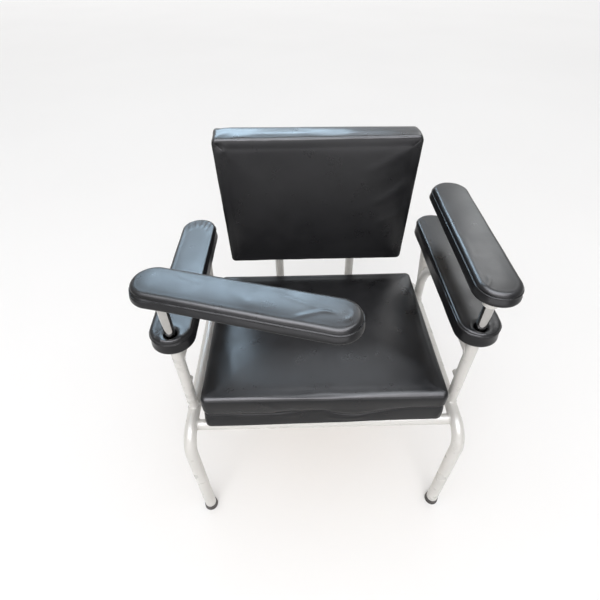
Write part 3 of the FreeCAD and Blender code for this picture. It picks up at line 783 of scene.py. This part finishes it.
def left_draw_folds(pad, v, nrm, r):
    top = np.nonzero((r < 5))[0]
    p = v[top][:, :2]
    h = path_fold(p, [(33, 268), (22, 284), (9, 305), (3, 322), (5.4, 344)], 4.0, 0.8, 0.3, 0.4)     # arc near the tip
    h += path_fold(p, [(-26, 205), (-12, 262), (6, 338)], 4.5, 0.3, 0.3, 0.5)
    h += path_fold(p, [(-28, 25), (-17, 62), (-6, 106)], 5.0, -0.4, 0.3)
    h += path_fold(p, [(20, 352), (0, 366), (-16, 360)], 5.0, 0.5)
    h += path_fold(p, [(-20, 130), (0, 160), (26, 205)], 9.0, 0.35)
    h += field(v[top], 70.0, 2, 0.55, (1, 1, 1))
    edge = np.clip(pad.depth(p[:, 0], p[:, 1]) / 9.0, 0, 1)
    v[top] += nrm[top] * (h * edge)[:, None]
    # the seam gapes near the pivot on the near side, and in a slot at the tip
    s = pad.base
    near = np.clip(1 - np.abs(s[:, 1] + 14) / 74.0, 0, 1) * (s[:, 0] > 0)
    near = near * near * (3 - 2 * near)
    tip = np.exp(-(((s[:, 0] - 17) / 5.0) ** 2)) * (s[:, 1] > 360)
    for k, a in ((5, 0.6), (6, 1.6), (7, 3.4), (8, 5.0), (9, 1.6)):
        v[pad.side_of(k), :2] -= pad.out * (a * near)[:, None]
    for k, a in ((7, 2.4), (8, 3.9), (9, 2.4)):
        v[pad.side_of(k), :2] -= pad.out * (a * tip)[:, None]
    for k, a in ((5, 0.6), (6, 1.1), (7, 0.6), (8, -1.6), (9, -3.4), (10, -4.0), (11, -4.0), (12, -3.9), (13, -3.8), (14, -3.6), (15, -3.4),
                 (16, -3.2), (17, -3.0), (18, -2.8), (19, -2.6), (20, -2.2), (21, -1.4)):
        v[pad.side_of(k), 2] += a * near
    for k, a in ((12, 1.0), (13, 1.8), (14, 2.4), (15, 2.4), (16, 2.0), (17, 1.5), (18, 0.9), (19, 0.4)):
        v[pad.side_of(k), :2] += pad.out * (a * near)[:, None]
    for k, a in ((6, 1.2), (7, 0.9), (9, -1.0)):
        v[pad.side_of(k), 2] += a * tip
    end = np.clip((s[:, 1] - 352.0) / 20.0, 0, 1) * np.clip((40.0 - s[:, 0]) / 30.0, 0, 1)
    for k, a in ((16, 0.3), (17, 0.6), (18, 0.8), (19, 1.0), (20, 1.0), (21, 1.0)):
        v[pad.side_of(k), :2] -= pad.out * (a * end)[:, None]
    side = np.nonzero((r > 13) & (r < 22))[0]
    q = v[side]
    h = field(q, 46.0, 5, 0.8, (1, 0.7, 1.5))
    v[side] += nrm[side] * h[:, None]
    return v, near


def right_draw_folds(pad, v, nrm, r):
    top = np.nonzero((r < 5))[0]
    p = v[top][:, :2]
    h = field(v[top], 80.0, 11, 0.5, (1, 1, 1))
    h += path_fold(p, [(-34, -22), (-22, -6), (-18, 14)], 4.5, 0.6)
    h += path_fold(p, [(-30, 60), (-27, 100), (-30, 150)], 6.0, 0.4)
    edge = np.clip(pad.depth(p[:, 0], p[:, 1]) / 9.0, 0, 1)
    v[top] += nrm[top] * (h * edge)[:, None]
    s = pad.base
    tip = np.exp(-(((s[:, 1] + 28) / 12.0) ** 2)) * (s[:, 0] < 0)
    for k, a in ((7, 1.0), (8, 1.5), (9, 0.8)):
        v[pad.side_of(k), :2] -= pad.out * (a * tip)[:, None]
    side = np.nonzero((r > 13) & (r < 22))[0]
    v[side] += nrm[side] * field(v[side], 46.0, 15, 0.8, (1, 0.7, 1.5))[:, None]
    return v, tip


Z0_L, Z0_R = 764.8 - 30.0, 747.0 - 30.0
PY = 51.0 + YS
left_draw = draw_arm("left_draw_pad",
                     place_of(shift(-317, PY, Z0_L), Matrix.Rotation(math.radians(-106.0), 4, "Z")), 1, left_draw_folds)
right_draw = draw_arm("right_draw_pad",
                      place_of(shift(317, PY, Z0_R), Matrix.Rotation(math.radians(-1.2), 4, "Z")), 2, right_draw_folds)


def armrest(name, sx, seed, crest, folds):
    """crest: height of the welted edge over the seam, on the side."""
    g = 38.3 - crest
    rows = [
        (15.0, 38.1), (11.0, 38.3), (8.2, 38.2), (5.8, crest + 0.95 * g), (4.0, crest + 0.84 * g), (2.8, crest + 0.68 * g),
        (2.1, crest + 0.50 * g), (1.7, crest + 0.33 * g), (1.2, crest + 0.19 * g), (0.2, crest + 0.08 * g), (-0.4, crest),
        (-0.1, crest - 0.9), (1.2, crest - 1.6), (2.6, crest - 2.1), (2.2, crest - 2.8), (1.0, crest - 3.8),
        (0.8, crest - 6.0), (0.5, 18.5), (0.0, 14.0), (-0.5, 9.8), (-0.9, 6.2), (-0.7, 3.4), (0.5, 1.4), (2.3, 0.3), (5.0, 0.0),
        (12.0, 0.0), (12.3, 1.7),
    ]
    hx = sx * (317 - 321)
    hy = 51.0 - 26.6
    hole = {"x": hx, "y": hy, "r": (14.6, 15.2), "k": 3, "roll": 0.5,
            "wall": [(13.9, 36.4), (13.7, 34.2), (13.8, 29.0), (14.0, 20.0), (14.6, 6.0)]}

    def tip(x, y):
        t = max(0.0, min(1.0, (34.0 - y) / 22.0))
        return t * t * (3 - 2 * t)

    pad = Pad([(-46, 0), (46, 0), (46, 459), (-46, 459)], 46.0, 20, (0, 62, 0, 62), rows, 0.5, 24.0, hole, tip, 4)
    side = [0, 0, 0, 0.05, 0.1, 0.2, 0.35, 0.5, 0.6, 0.7, 0.85, 0.9, 1, 1, 1, 0.8, 0.5, 0.3, 0.2, 0.25, 0.5, 0.8, 0.95, 1, 1, 1, 1]
    w = pins_for(pad, side)
    dist = np.hypot(pad.v[:, 0] - hx, pad.v[:, 1] - hy)
    w = np.maximum(w, np.where(rows_of(pad) == -1, np.clip(1.2 - (dist - 13.0) / 12.0, 0, 1) * 0.7, 0))
    d = puff(pad, w, grow=0.003, pressure=4.0, cap=2.2)
    v = pad.v + 0.25 * d
    r = rows_of(pad)
    nrm = normals(v, pad.f)
    wave = wander(pad.N, seed + 3, 8.0, 1.3) + wander(pad.N, seed + 8, 20.0, 0.5)
    for k in range(8, 15):
        v[pad.side_of(k), 2] += wave
    bulge = wander(pad.N, seed + 6, 14.0, 0.7)
    for k, a in ((6, 0.5), (7, 0.7), (8, 0.9), (9, 1.0), (10, 1.0), (11, 0.8)):
        v[pad.side_of(k), :2] += pad.out * (a * bulge)[:, None]
    v = folds(pad, v, nrm, r, hx, hy)
    place = shift(sx * 321.0, 26.6 + YS, 621.6 - 38.8)
    return finish_pad(name, v, pad.f, place, MAT["black_vinyl"])


def left_rest_folds(pad, v, nrm, r, hx, hy):
    top = np.nonzero((r < 8))[0]
    p = v[top][:, :2]
    h = field(v[top], 80.0, 21, 0.6)
    for pts, w_, t in (([(-32, 447), (-25, 425), (-21, 398)], 3.6, 0.9), ([(-13, 456), (-9, 436), (-6, 408)], 3.6, 0.9),
                       ([(7, 457), (8, 436), (6, 412)], 3.6, 0.8), ([(25, 450), (20, 426), (17, 400)], 3.8, 1.0),
                       ([(38, 438), (31, 415), (29, 380)], 4.0, 0.9), ([(-40, 430), (-37, 380), (-38, 320)], 4.5, 0.7),
                       ([(-36, 14), (-26, 22), (-20, 34)], 3.6, 0.8), ([(33, 14), (24, 20), (20, 32)], 3.6, 0.9),
                       ([(-16, 2), (-12, 9)], 3.4, 0.9), ([(10, 1), (8, 9)], 3.4, 0.7)):
        h += path_fold(p, pts, w_, t)
    rr = np.hypot(p[:, 0] - hx, p[:, 1] - hy)
    h += 0.8 * np.exp(-((rr - 21.0) / 4.5) ** 2)
    h *= np.clip((rr - 15.0) / 3.0, 0, 1)
    v[top] += nrm[top] * h[:, None]
    side = np.nonzero((r > 15) & (r < 23))[0]
    v[side] += nrm[side] * field(v[side], 42.0, 25, 0.9, (1, 0.8, 1.4))[:, None]
    return v


def right_rest_folds(pad, v, nrm, r, hx, hy):
    top = np.nonzero((r < 8))[0]
    p = v[top][:, :2]
    h = field(v[top], 90.0, 31, 0.5)
    for pts, w_, t in (([(-30, 446), (-24, 425), (-22, 404)], 4.0, 0.5), ([(26, 448), (22, 425), (22, 400)], 4.0, 0.5),
                       ([(18, 186), (22, 168), (27, 150)], 4.0, -0.8),
                       ([(-36, 10), (-26, 20), (-20, 34)], 4.0, 0.7), ([(34, 16), (24, 24), (20, 36)], 4.0, 0.7), ([(0, 2), (0, 10)], 3.4, 0.6)):
        h += path_fold(p, pts, w_, t)
    rr = np.hypot(p[:, 0] - hx, p[:, 1] - hy)
    h += 0.7 * np.exp(-((rr - 21.0) / 5.0) ** 2)
    h *= np.clip((rr - 15.0) / 3.0, 0, 1)
    v[top] += nrm[top] * h[:, None]
    side = np.nonzero((r > 15) & (r < 23))[0]
    v[side] += nrm[side] * field(v[side], 42.0, 35, 0.9, (1, 0.8, 1.4))[:, None]
    return v


left_rest = armrest("left_armrest_pad", -1, 4, 28.6, left_rest_folds)
right_rest = armrest("right_armrest_pad", 1, 6, 32.6, right_rest_folds)


def seat_cushion():
    rows = [
        (22.0, 94.2), (15.0, 94.3), (10.4, 94.2), (7.2, 93.8), (4.8, 93.0), (2.8, 91.7), (1.3, 89.8), (0.3, 87.2),
        (-0.5, 83.0), (-0.9, 77.0), (-1.0, 70.0), (-0.9, 62.5), (-0.7, 55.0), (-0.3, 48.5), (0.3, 43.9), (1.5, 41.0),
        (3.0, 39.2), (1.7, 37.6), (0.5, 34.8), (-0.2, 29.5), (-0.8, 22.5), (-1.2, 15.0), (-1.3, 9.0), (-1.2, 5.0),
        (-0.8, 2.3), (0.4, 0.7), (3.6, 0.0), (26.0, 0.0), (26.3, 1.7),
    ]
    CREASE = 16
    pad = Pad([(-282, 0), (282, 0), (282, 440), (-282, 440)], 15.0, 6, (72, 56, 72, 56), rows, 2.6, 130.0)
    side = [0, 0, 0.05, 0.1, 0.3, 0.4, 0.4, 0.35, 0.3, 0.25, 0.25, 0.25, 0.3, 0.45, 0.7, 0.9, 1, 0.9, 0.7, 0.5, 0.4, 0.4, 0.6, 0.8, 0.9, 1, 1, 1, 1]
    d = puff(pad, pins_for(pad, side), grow=0.004, pressure=4.0, cap=3.0)
    v = pad.v + d
    r = rows_of(pad)
    nrm = normals(v, pad.f)
    front = np.clip(1 - (pad.base[:, 1] - 2.0) / 12.0, 0, 1)
    x = pad.base[:, 0]
    # where the crease runs along the front, and how far the hem hangs
    line = np.interp(x, [-290, -200, -150, -112, -85, -60, -10, 6, 20, 45, 75, 100, 130, 165, 200, 290],
                     [38, 38, 36.5, 37.5, 42, 45, 48, 45, 35, 28, 25.5, 30, 37, 46, 50, 49])
    line = np.convolve(np.concatenate([line[-3:], line, line[:3]]), np.ones(3) / 3, "same")[3:-3]
    other = 40.0 + 3.0 * np.sin(pad.s / 90.0)
    move = front * (line - 39.2) + (1 - front) * (other - 39.2)
    hang = front * np.interp(x, [-290, -200, 0, 160, 290], [1.0, 0.9, 0.62, 0.2, 0.0])
    for k in range(8, 27):
        w = rows[k][1]
        g = np.interp(w, [2.0, 39.2, 84.0], [0.0, 1.0, 0.0])
        v[pad.side_of(k), 2] += move * g
    for k, drop, out in ((20, 1.0, 1.2), (21, 2.0, 2.2), (22, 3.4, 3.2), (23, 5.2, 3.8), (24, 6.0, 4.0), (25, 4.6, 3.2), (26, 0.0, 1.4)):
        v[pad.side_of(k), 2] -= drop * hang
        v[pad.side_of(k), :2] += pad.out * (out * hang)[:, None]
    # the front edge's ridge runs a little wavy: rounder to the right, dipping in the middle
    dip = front * (np.exp(-((x - 8) / 34.0) ** 2) - 0.35 * np.exp(-((x + 70) / 40.0) ** 2))
    soft = front * np.clip((x - 40) / 160.0, 0, 1)
    for k, a in ((2, 0.6), (3, 1.0), (4, 1.2), (5, 1.2), (6, 0.9), (7, 0.5)):
        v[pad.side_of(k), 2] -= (1.0 * a) * dip + (0.9 * a) * soft
        v[pad.side_of(k), :2] -= pad.out * (0.9 * a * soft)[:, None]
    top = np.nonzero((r < 4))[0]
    p = v[top][:, :2]
    h = field(v[top], 150.0, 41, 1.1)
    h += path_fold(p, [(-228, 175), (-214, 95), (-196, 30), (-190, 8)], 17.0, 1.0, 0.35)
    h += path_fold(p, [(110, 170), (190, 120), (256, 60)], 22.0, 0.9)
    h += path_fold(p, [(-274, 14), (-256, 24), (-236, 30)], 8.0, 0.9)
    h += path_fold(p, [(270, 16), (252, 30), (240, 52)], 8.0, 0.8)
    v[top] += nrm[top] * h[:, None]
    # folds on the front face, in the plane of the face
    side = np.nonzero((r >= 8) & (r < 26))[0]
    q = np.stack([v[side][:, 0], v[side][:, 2]], 1)
    isf = np.clip(1 - v[side][:, 1] / 8.0, 0, 1)
    hh = field(v[side], 70.0, 45, 0.9, (1, 1, 1.2)) * (1 - 0.4 * isf)
    hh += isf * (path_fold(q, [(-214, 36), (-165, 33), (-112, 36)], 2.6, 1.2)
                 + path_fold(q, [(-128, 27), (-98, 33), (-45, 31)], 3.4, 1.6)
                 + path_fold(q, [(-118, 40), (-92, 46), (-60, 58)], 4.0, -1.3)
                 + path_fold(q, [(-14, 36), (14, 23), (60, 16), (112, 21)], 4.0, 1.8)
                 + path_fold(q, [(0, 52), (34, 40), (80, 37), (130, 46)], 4.5, 1.4)
                 + path_fold(q, [(-160, 84), (-120, 66), (-96, 48)], 6.0, 0.8)
                 + path_fold(q, [(266, 6), (268, 22), (272, 40)], 3.4, 1.6)
                 + path_fold(q, [(-276, 0), (-270, 14), (-258, 26)], 4.0, 1.4))
    v[side] += nrm[side] * hh[:, None]
    return finish_pad("seat_cushion", v, pad.f, shift(0, YS, 355.8), MAT["black_vinyl"])


seat = seat_cushion()


def back_cushion():
    rows = [
        (22.0, 69.4), (14.0, 69.6), (8.0, 69.7), (4.8, 69.6), (2.6, 69.1), (1.1, 68.1), (0.4, 66.9), (0.7, 65.9),
        (2.2, 65.2), (2.6, 64.7), (1.2, 64.0), (0.1, 62.6), (-0.6, 59.5), (-1.0, 54.0), (-1.2, 46.5), (-1.2, 38.5), (-1.1, 30.5),
        (-0.8, 22.5), (-0.4, 15.0), (0.0, 8.8), (0.4, 4.4), (1.3, 1.6), (4.6, 0.1), (26.0, 0.0), (26.3, 1.7),
    ]
    pad = Pad([(-244.5, 0), (244.5, 0), (255, 352), (-255, 352)], 12.0, 6, (64, 46, 64, 46), rows, 2.4, 120.0)
    side = [0, 0, 0.05, 0.1, 0.3, 0.5, 0.7, 0.9, 1, 1, 0.9, 0.6, 0.35, 0.25, 0.2, 0.2, 0.25, 0.35, 0.5, 0.7, 0.85, 0.95, 1, 1, 1]
    d = puff(pad, pins_for(pad, side), grow=0.004, pressure=4.0, cap=3.0)
    v = pad.v + d
    r = rows_of(pad)
    nrm = normals(v, pad.f)
    top = np.nonzero((r < 6))[0]
    p = v[top][:, :2]
    h = field(v[top], 140.0, 51, 0.8)
    h += path_fold(p, [(140, 175), (190, 205), (240, 252)], 11.0, 1.0) + path_fold(p, [(160, 120), (205, 140), (246, 168)], 10.0, 0.8)
    h += path_fold(p, [(110, 262), (170, 290), (232, 334)], 12.0, 0.7)
    h += bowl(p, (-237, 335), 7.0, -3.0) + path_fold(p, [(-224, 346), (-223, 332), (-232, 322), (-246, 322)], 3.2, 1.6)
    v[top] += nrm[top] * h[:, None]
    # the boxing strip: lengthwise creases along the top, softer down the sides
    side = np.nonzero((r > 9) & (r < 22))[0]
    q = v[side]
    up = np.clip((q[:, 1] - 345.0) / 6.0, 0, 1)
    hh = field(q, 30.0, 55, 0.8, (0.12, 1, 1.0)) * (0.4 + up)
    xz = q[:, [0, 2]]
    hh += up * (path_fold(xz, [(-248, 18), (-190, 26), (-120, 24)], 4.0, 1.3) + path_fold(xz, [(-190, 50), (-90, 44), (20, 47)], 4.5, 1.2)
                + path_fold(xz, [(-60, 20), (20, 30), (120, 26)], 4.0, 1.2) + path_fold(xz, [(50, 52), (130, 42), (236, 46)], 4.0, 1.5)
                + path_fold(xz, [(120, 16), (190, 24), (250, 18)], 3.5, 1.2) + path_fold(xz, [(-248, 58), (-228, 44), (-206, 40)], 4.0, 1.4)
                + path_fold(xz, [(-250, 40), (-236, 30), (-222, 12)], 4.0, 1.2)
                + path_fold(xz, [(-256, 14), (-240, 12), (-212, 6)], 5.5, -3.4, 0.2))
    v[side] += nrm[side] * hh[:, None]
    run = wander(pad.N, 9, 7.0, 1.4) + wander(pad.N, 10, 18.0, 0.5)
    for k in range(6, 12):
        v[pad.side_of(k), 2] += run
    tops = np.clip((pad.base[:, 1] - 338.0) / 13.0, 0, 1)
    rise = tops * np.interp(pad.base[:, 0], [-255, -225, -120, 60, 200, 255], [10.0, 11.5, 9.5, 6.5, 4.5, 3.5])
    for k in range(11, pad.R):
        a = float(np.interp(rows[k][1], [4.0, 14.0, 30.0, 62.0], [0.55, 1.0, 0.72, 0.0])) if rows[k][0] < 3.0 else 0.25
        v[pad.side_of(k), 1] += rise * a
    ear = np.exp(-(((pad.base[:, 0] + 251) / 9.0) ** 2 + ((pad.base[:, 1] - 350) / 9.0) ** 2))
    for k in range(11, pad.R):
        a = float(np.interp(rows[k][1], [1.0, 6.0, 16.0, 34.0], [0.7, 1.0, 0.8, 0.0])) if rows[k][0] < 3.0 else 0.25
        v[pad.side_of(k), :2] += ear[:, None] * np.array([-4.0, 2.5]) * a
    lip = wander(pad.N, 12, 8.0, 0.7)
    for k, a in ((4, 0.7), (5, 1.0), (6, 0.8)):
        v[pad.side_of(k)] += nrm[pad.side_of(k)] * (a * lip)[:, None]
    place = place_of(shift(0, 440.75 + YS, 502.3), Matrix.Rotation(math.radians(88.0), 4, "X"), shift(0, 0, -70.0))
    return finish_pad("back_cushion", v, pad.f, place, MAT["black_vinyl"])


back = back_cushion()

for ob, body, nodes in (
    (seat, "chair", ("seat_cover", "seat_foam")),
    (back, "chair", ("back_cover", "back_foam")),
    (left_rest, "chair", ("left_armrest_cover", "left_armrest_foam")),
    (right_rest, "chair", ("right_armrest_cover", "right_armrest_foam")),
    (left_draw, "left_draw_arm", ("left_draw_cover", "left_draw_foam")),
    (right_draw, "right_draw_arm", ("right_draw_cover", "right_draw_foam")),
):
    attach(ob, body)
    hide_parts(*nodes)


# ------------------------------------------------------------------ staples that hold the covers
def staple_rows(corners, r, inset, step, place, seed, skip=None):
    """Staples along the turned-in edge under a pad, in the chair's frame, in mm."""
    L = outline(corners, r, inset, 20, (60, 60, 60, 60))
    nxt = np.roll(L, -1, 0)
    seg = np.linalg.norm(nxt - L, axis=1)
    acc = np.concatenate([[0], np.cumsum(seg)])
    V, F = np.zeros((0, 3)), []
    n = int(acc[-1] / step)
    for i in range(n):
        wob = noise.noise(Vector((i * 0.9, seed * 2.3, 1.7)))
        a = (i + 0.5 + 0.35 * wob) * acc[-1] / n
        k = min(int(np.searchsorted(acc, a)) - 1, len(L) - 1)
        t = (nxt[k] - L[k]) / seg[k]
        c = L[k] + t * (a - acc[k])
        turn = 0.35 * noise.noise(Vector((i * 1.3, 5.1, seed * 1.9)))
        t = np.array([t[0] * math.cos(turn) - t[1] * math.sin(turn), t[0] * math.sin(turn) + t[1] * math.cos(turn)])
        c = c + np.array([-t[1], t[0]]) * (1.4 * noise.noise(Vector((i * 0.7, seed, 9.4))))
        if skip and skip(c[0], c[1]):
            continue
        path = [(c[0] + t[0] * u, c[1] + t[1] * u, w) for u, w in ((-5, 1.6), (-5, -0.2), (-4.5, -0.55), (0, -0.62), (4.5, -0.55), (5, -0.2), (5, 1.6))]
        v, f = tube_loop(path, 0.42, 6, closed=False)
        F += [tuple(j + len(V) for j in g) for g in f]
        V = np.vstack([V, v])
    R = np.array(place.to_3x3())
    T = np.array(place.translation) * 1000.0
    return V @ R.T + T, F


def staple_object(name, parts, body):
    V, F = np.zeros((0, 3)), []
    for v, f in parts:
        F += [tuple(i + len(V) for i in g) for g in f]
        V = np.vstack([V, v])
    ob = make_object(name, V, F, MAT["zinc_fasteners"])
    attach(ob, body)
    return ob


ARM_PLAN = [(-46, -46), (46, -46), (46, 386), (-46, 386)]
REST_PLAN = [(-46, 0), (46, 0), (46, 459), (-46, 459)]
BACK_PLACE = place_of(shift(0, 440.75 + YS, 502.3), Matrix.Rotation(math.radians(88.0), 4, "X"), shift(0, 0, -70.0))
staple_object("chair_staples", [
    staple_rows([(-282, 0), (282, 0), (282, 440), (-282, 440)], 15.0, 16.0, 27.0, shift(0, YS, 355.8), 1),
    staple_rows([(-244.5, 0), (244.5, 0), (255, 352), (-255, 352)], 12.0, 16.0, 27.0, BACK_PLACE, 2),
    staple_rows(REST_PLAN, 46.0, 8.6, 21.0, shift(-321.0, 26.6 + YS, 582.8), 3, lambda x, y: abs(x) < 33 and (y < 82 or y > 385)),
    staple_rows(REST_PLAN, 46.0, 8.6, 21.0, shift(321.0, 26.6 + YS, 582.8), 4, lambda x, y: abs(x) < 33 and (y < 82 or y > 385)),
], "chair")
staple_object("left_draw_staples", [staple_rows(ARM_PLAN, 46.0, 8.6, 21.0, place_of(
    shift(-317, PY, Z0_L), Matrix.Rotation(math.radians(-106.0), 4, "Z")), 5)], "left_draw_arm")
staple_object("right_draw_staples", [staple_rows(ARM_PLAN, 46.0, 8.6, 21.0, place_of(
    shift(317, PY, Z0_R), Matrix.Rotation(math.radians(-1.2), 4, "Z")), 6)], "right_draw_arm")


# ------------------------------------------------------------------ weld beads
def bead(points, r=2.0, closed=True):
    P = np.asarray(points, float)
    n = len(P)
    rad = np.array([r * (1.0 + 0.14 * math.sin(i * 1.9) + 0.10 * noise.noise(Vector((i * 0.37, r, 4.2)))) for i in range(n)])
    return tube_loop(P, rad, 6, closed)


def join(parts):
    V, F = np.zeros((0, 3)), []
    for v, f in parts:
        F += [tuple(i + len(V) for i in g) for g in f]
        V = np.vstack([V, v])
    return V, F


def post_ring(x, y, z_axis, r_post, r_rail, n=60):
    """Where an upright stands on a rail that runs along Y."""
    out = []
    for i in range(n):
        t = 2 * math.pi * i / n
        dx, dy = (r_post + 0.3) * math.cos(t), (r_post + 0.3) * math.sin(t)
        out.append((x + dx, y + dy, z_axis + math.sqrt(max(r_rail**2 - dx**2, 0.0)) + 0.3))
    return out


def rail_ring(sx, x_axis, y, z, r_rail, leg, n=60):
    """Where a cross rail meets a side tube: along Y at leg = height, or a vertical leg."""
    out = []
    for i in range(n):
        t = 2 * math.pi * i / n
        dy, dz = (r_rail + 0.3) * math.cos(t), (r_rail + 0.3) * math.sin(t)
        if leg is None:
            off = math.sqrt(max(15.0**2 - dy**2, 0.0))
        else:
            off = math.sqrt(max(15.0**2 - (z + dz - leg) ** 2, 0.0))
        out.append((sx * (x_axis - off - 0.3), y + dy, z + dz))
    return out


beads = []
for sx in (-1, 1):
    beads.append(bead(post_ring(sx * 317.0, 51.0, 350.0, 12.7, 15.0)))
    beads.append(bead(post_ring(sx * 317.0, 420.0, 350.0, 12.7, 15.0)))
    beads.append(bead(rail_ring(sx, 317.0, 7.0, 343.0, 12.7, 350.0)))
    beads.append(bead(rail_ring(sx, 317.0, 400.0, 343.0, 12.7, 350.0)))
    beads.append(bead(rail_ring(sx, 317.0, 511.0, 300.0, 12.7, None)))
    ring = []
    for i in range(60):
        t = 2 * math.pi * i / 60
        dx, dz = 12.9 * math.cos(t), 12.9 * math.sin(t)
        ring.append((sx * 317.0 + dx, 51.0 + math.sqrt(max(12.7**2 - dx**2, 0.0)) + 0.4, 540.0 + dz))
    beads.append(bead(ring, 1.7))
bv, bf = join(beads)
bv[:, 1] += YS
welds = make_object("weld_beads", bv, bf, MAT["white_frame"])
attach(welds, "chair")

# ------------------------------------------------------------------ floor, light, camera
fl = bpy.data.meshes.new("floor")
fl.from_pydata([(-45, -45, 0), (45, -45, 0), (45, 45, 0), (-45, 45, 0)], [], [(0, 1, 2, 3)])
floor = bpy.data.objects.new("floor", fl)
bpy.context.scene.collection.objects.link(floor)
fm, fnt, fb = new_mat("pale_floor")
fv = tex_coord(fnt)
fcol = ramp(fnt, noise_tex(fnt, fv, 0.8, 2.0), [(0.3, (0.885, 0.88, 0.88)), (0.7, (0.90, 0.895, 0.895))])
fnt.links.new(fcol, fb.inputs["Base Color"])
fb.inputs["Roughness"].default_value = 0.9
fb.inputs["Specular IOR Level"].default_value = 0.1
fl.materials.append(fm)

world = bpy.data.worlds.new("studio")
bpy.context.scene.world = world
world.use_nodes = True
bg = world.node_tree.nodes["Background"]
bg.inputs["Color"].default_value = (1.0, 1.0, 1.0, 1.0)
bg.inputs["Strength"].default_value = 0.65


def area(name, at, look, sx, sy, radiance, color, card=False):
    """A rectangular softbox, given by how bright its face is; a card only shows in gloss."""
    l = bpy.data.lights.new(name, "AREA")
    l.shape = "RECTANGLE"
    l.size, l.size_y = sx, sy
    l.energy = radiance * math.pi * sx * sy
    l.color = color
    o = bpy.data.objects.new(name, l)
    o.location = at
    o.rotation_euler = (Vector(look) - Vector(at)).to_track_quat("-Z", "Y").to_euler()
    o.visible_camera = False
    if card:
        o.visible_diffuse = False
    bpy.context.scene.collection.objects.link(o)
    return o


# a wide soft ceiling, a panel over the far floor and a softbox in front
area("ceiling", (0.0, 0.0, 5.5), (0.0, 0.001, 0.0), 22.0, 22.0, 0.30, (1.0, 1.0, 0.99))
area("far", (0.0, 24.0, 6.0), (0.0, 24.001, 0.0), 60.0, 24.0, 0.75, (1.0, 1.0, 1.0))
area("front", (-0.5, -3.1, 2.6), (0.0, 0.0, 0.6), 3.6, 2.2, 2.6, (1.0, 0.99, 0.985))
# what the vinyl's sheen shows: a cool window behind, its paler foot and head, a dim wall over
# it, panels to the right of it, and a pale wall in front
area("window", (-0.73, 3.30, 3.60), (-0.05, -0.1, 0.75), 2.67, 0.90, 26.5, (0.58, 0.80, 1.0), True)
area("window_foot", (-0.78, 3.30, 2.15), (-0.15, -0.1, 0.75), 2.56, 0.90, 1.8, (0.70, 0.86, 1.0), True)
area("window_head", (0.40, 3.30, 4.45), (0.0, -0.28, 0.75), 1.20, 0.64, 11.0, (0.80, 0.90, 1.0), True)
area("overhead", (0.0, -0.40, 5.0), (0.0, -0.399, 0.0), 6.0, 2.7, 12.5, (0.90, 0.94, 1.0), True)
area("sky", (0.3, 2.7, 4.0), (0.0, -0.15, 0.5), 5.0, 2.6, 1.2, (1.0, 0.98, 1.0), True)
area("side_low", (2.12, 2.90, 2.70), (0.30, -0.05, 0.75), 0.9, 1.2, 4.0, (0.93, 0.98, 1.0), True)
area("side_high", (1.95, 2.90, 3.68), (0.30, -0.10, 0.62), 1.0, 0.9, 6.5, (1.0, 1.0, 1.0), True)
area("wall", (-0.3, -1.9, 3.6), (0.0, -0.1, 0.55), 4.2, 2.3, 15.0, (0.95, 0.94, 1.0), True)
area("wall_foot", (-0.2, -3.3, 0.75), (0.0, -0.2, 0.60), 5.0, 1.4, 3.4, (0.97, 0.96, 1.0), True)

cam_data = bpy.data.cameras.new("camera")
cam = bpy.data.objects.new("camera", cam_data)
bpy.context.scene.collection.objects.link(cam)
yaw, pitch, roll = math.radians(0.465596), math.radians(43.074997), math.radians(-0.937269)
fw = Vector((math.sin(yaw) * math.cos(pitch), math.cos(yaw) * math.cos(pitch), -math.sin(pitch)))
rt = Vector((math.cos(yaw), -math.sin(yaw), 0.0))
up = rt.cross(fw)
r2 = rt * math.cos(roll) + up * math.sin(roll)
u2 = up * math.cos(roll) - rt * math.sin(roll)
M = Matrix((r2, u2, -fw)).transposed().to_4x4()
M.translation = Vector((-0.056399, -0.522695 + YS / 1000.0, 1.243425))
cam.matrix_world = M
cam_data.sensor_fit = "HORIZONTAL"
cam_data.sensor_width = 36.0
cam_data.lens = 36.0 * 413.673 / 600.0
cam_data.clip_start, cam_data.clip_end = 0.02, 90.0
sc = bpy.context.scene
sc.camera = cam
sc.view_settings.view_transform = "Standard"
sc.view_settings.look = "None"
sc.view_settings.exposure = 0.0
sc.view_settings.gamma = 1.0
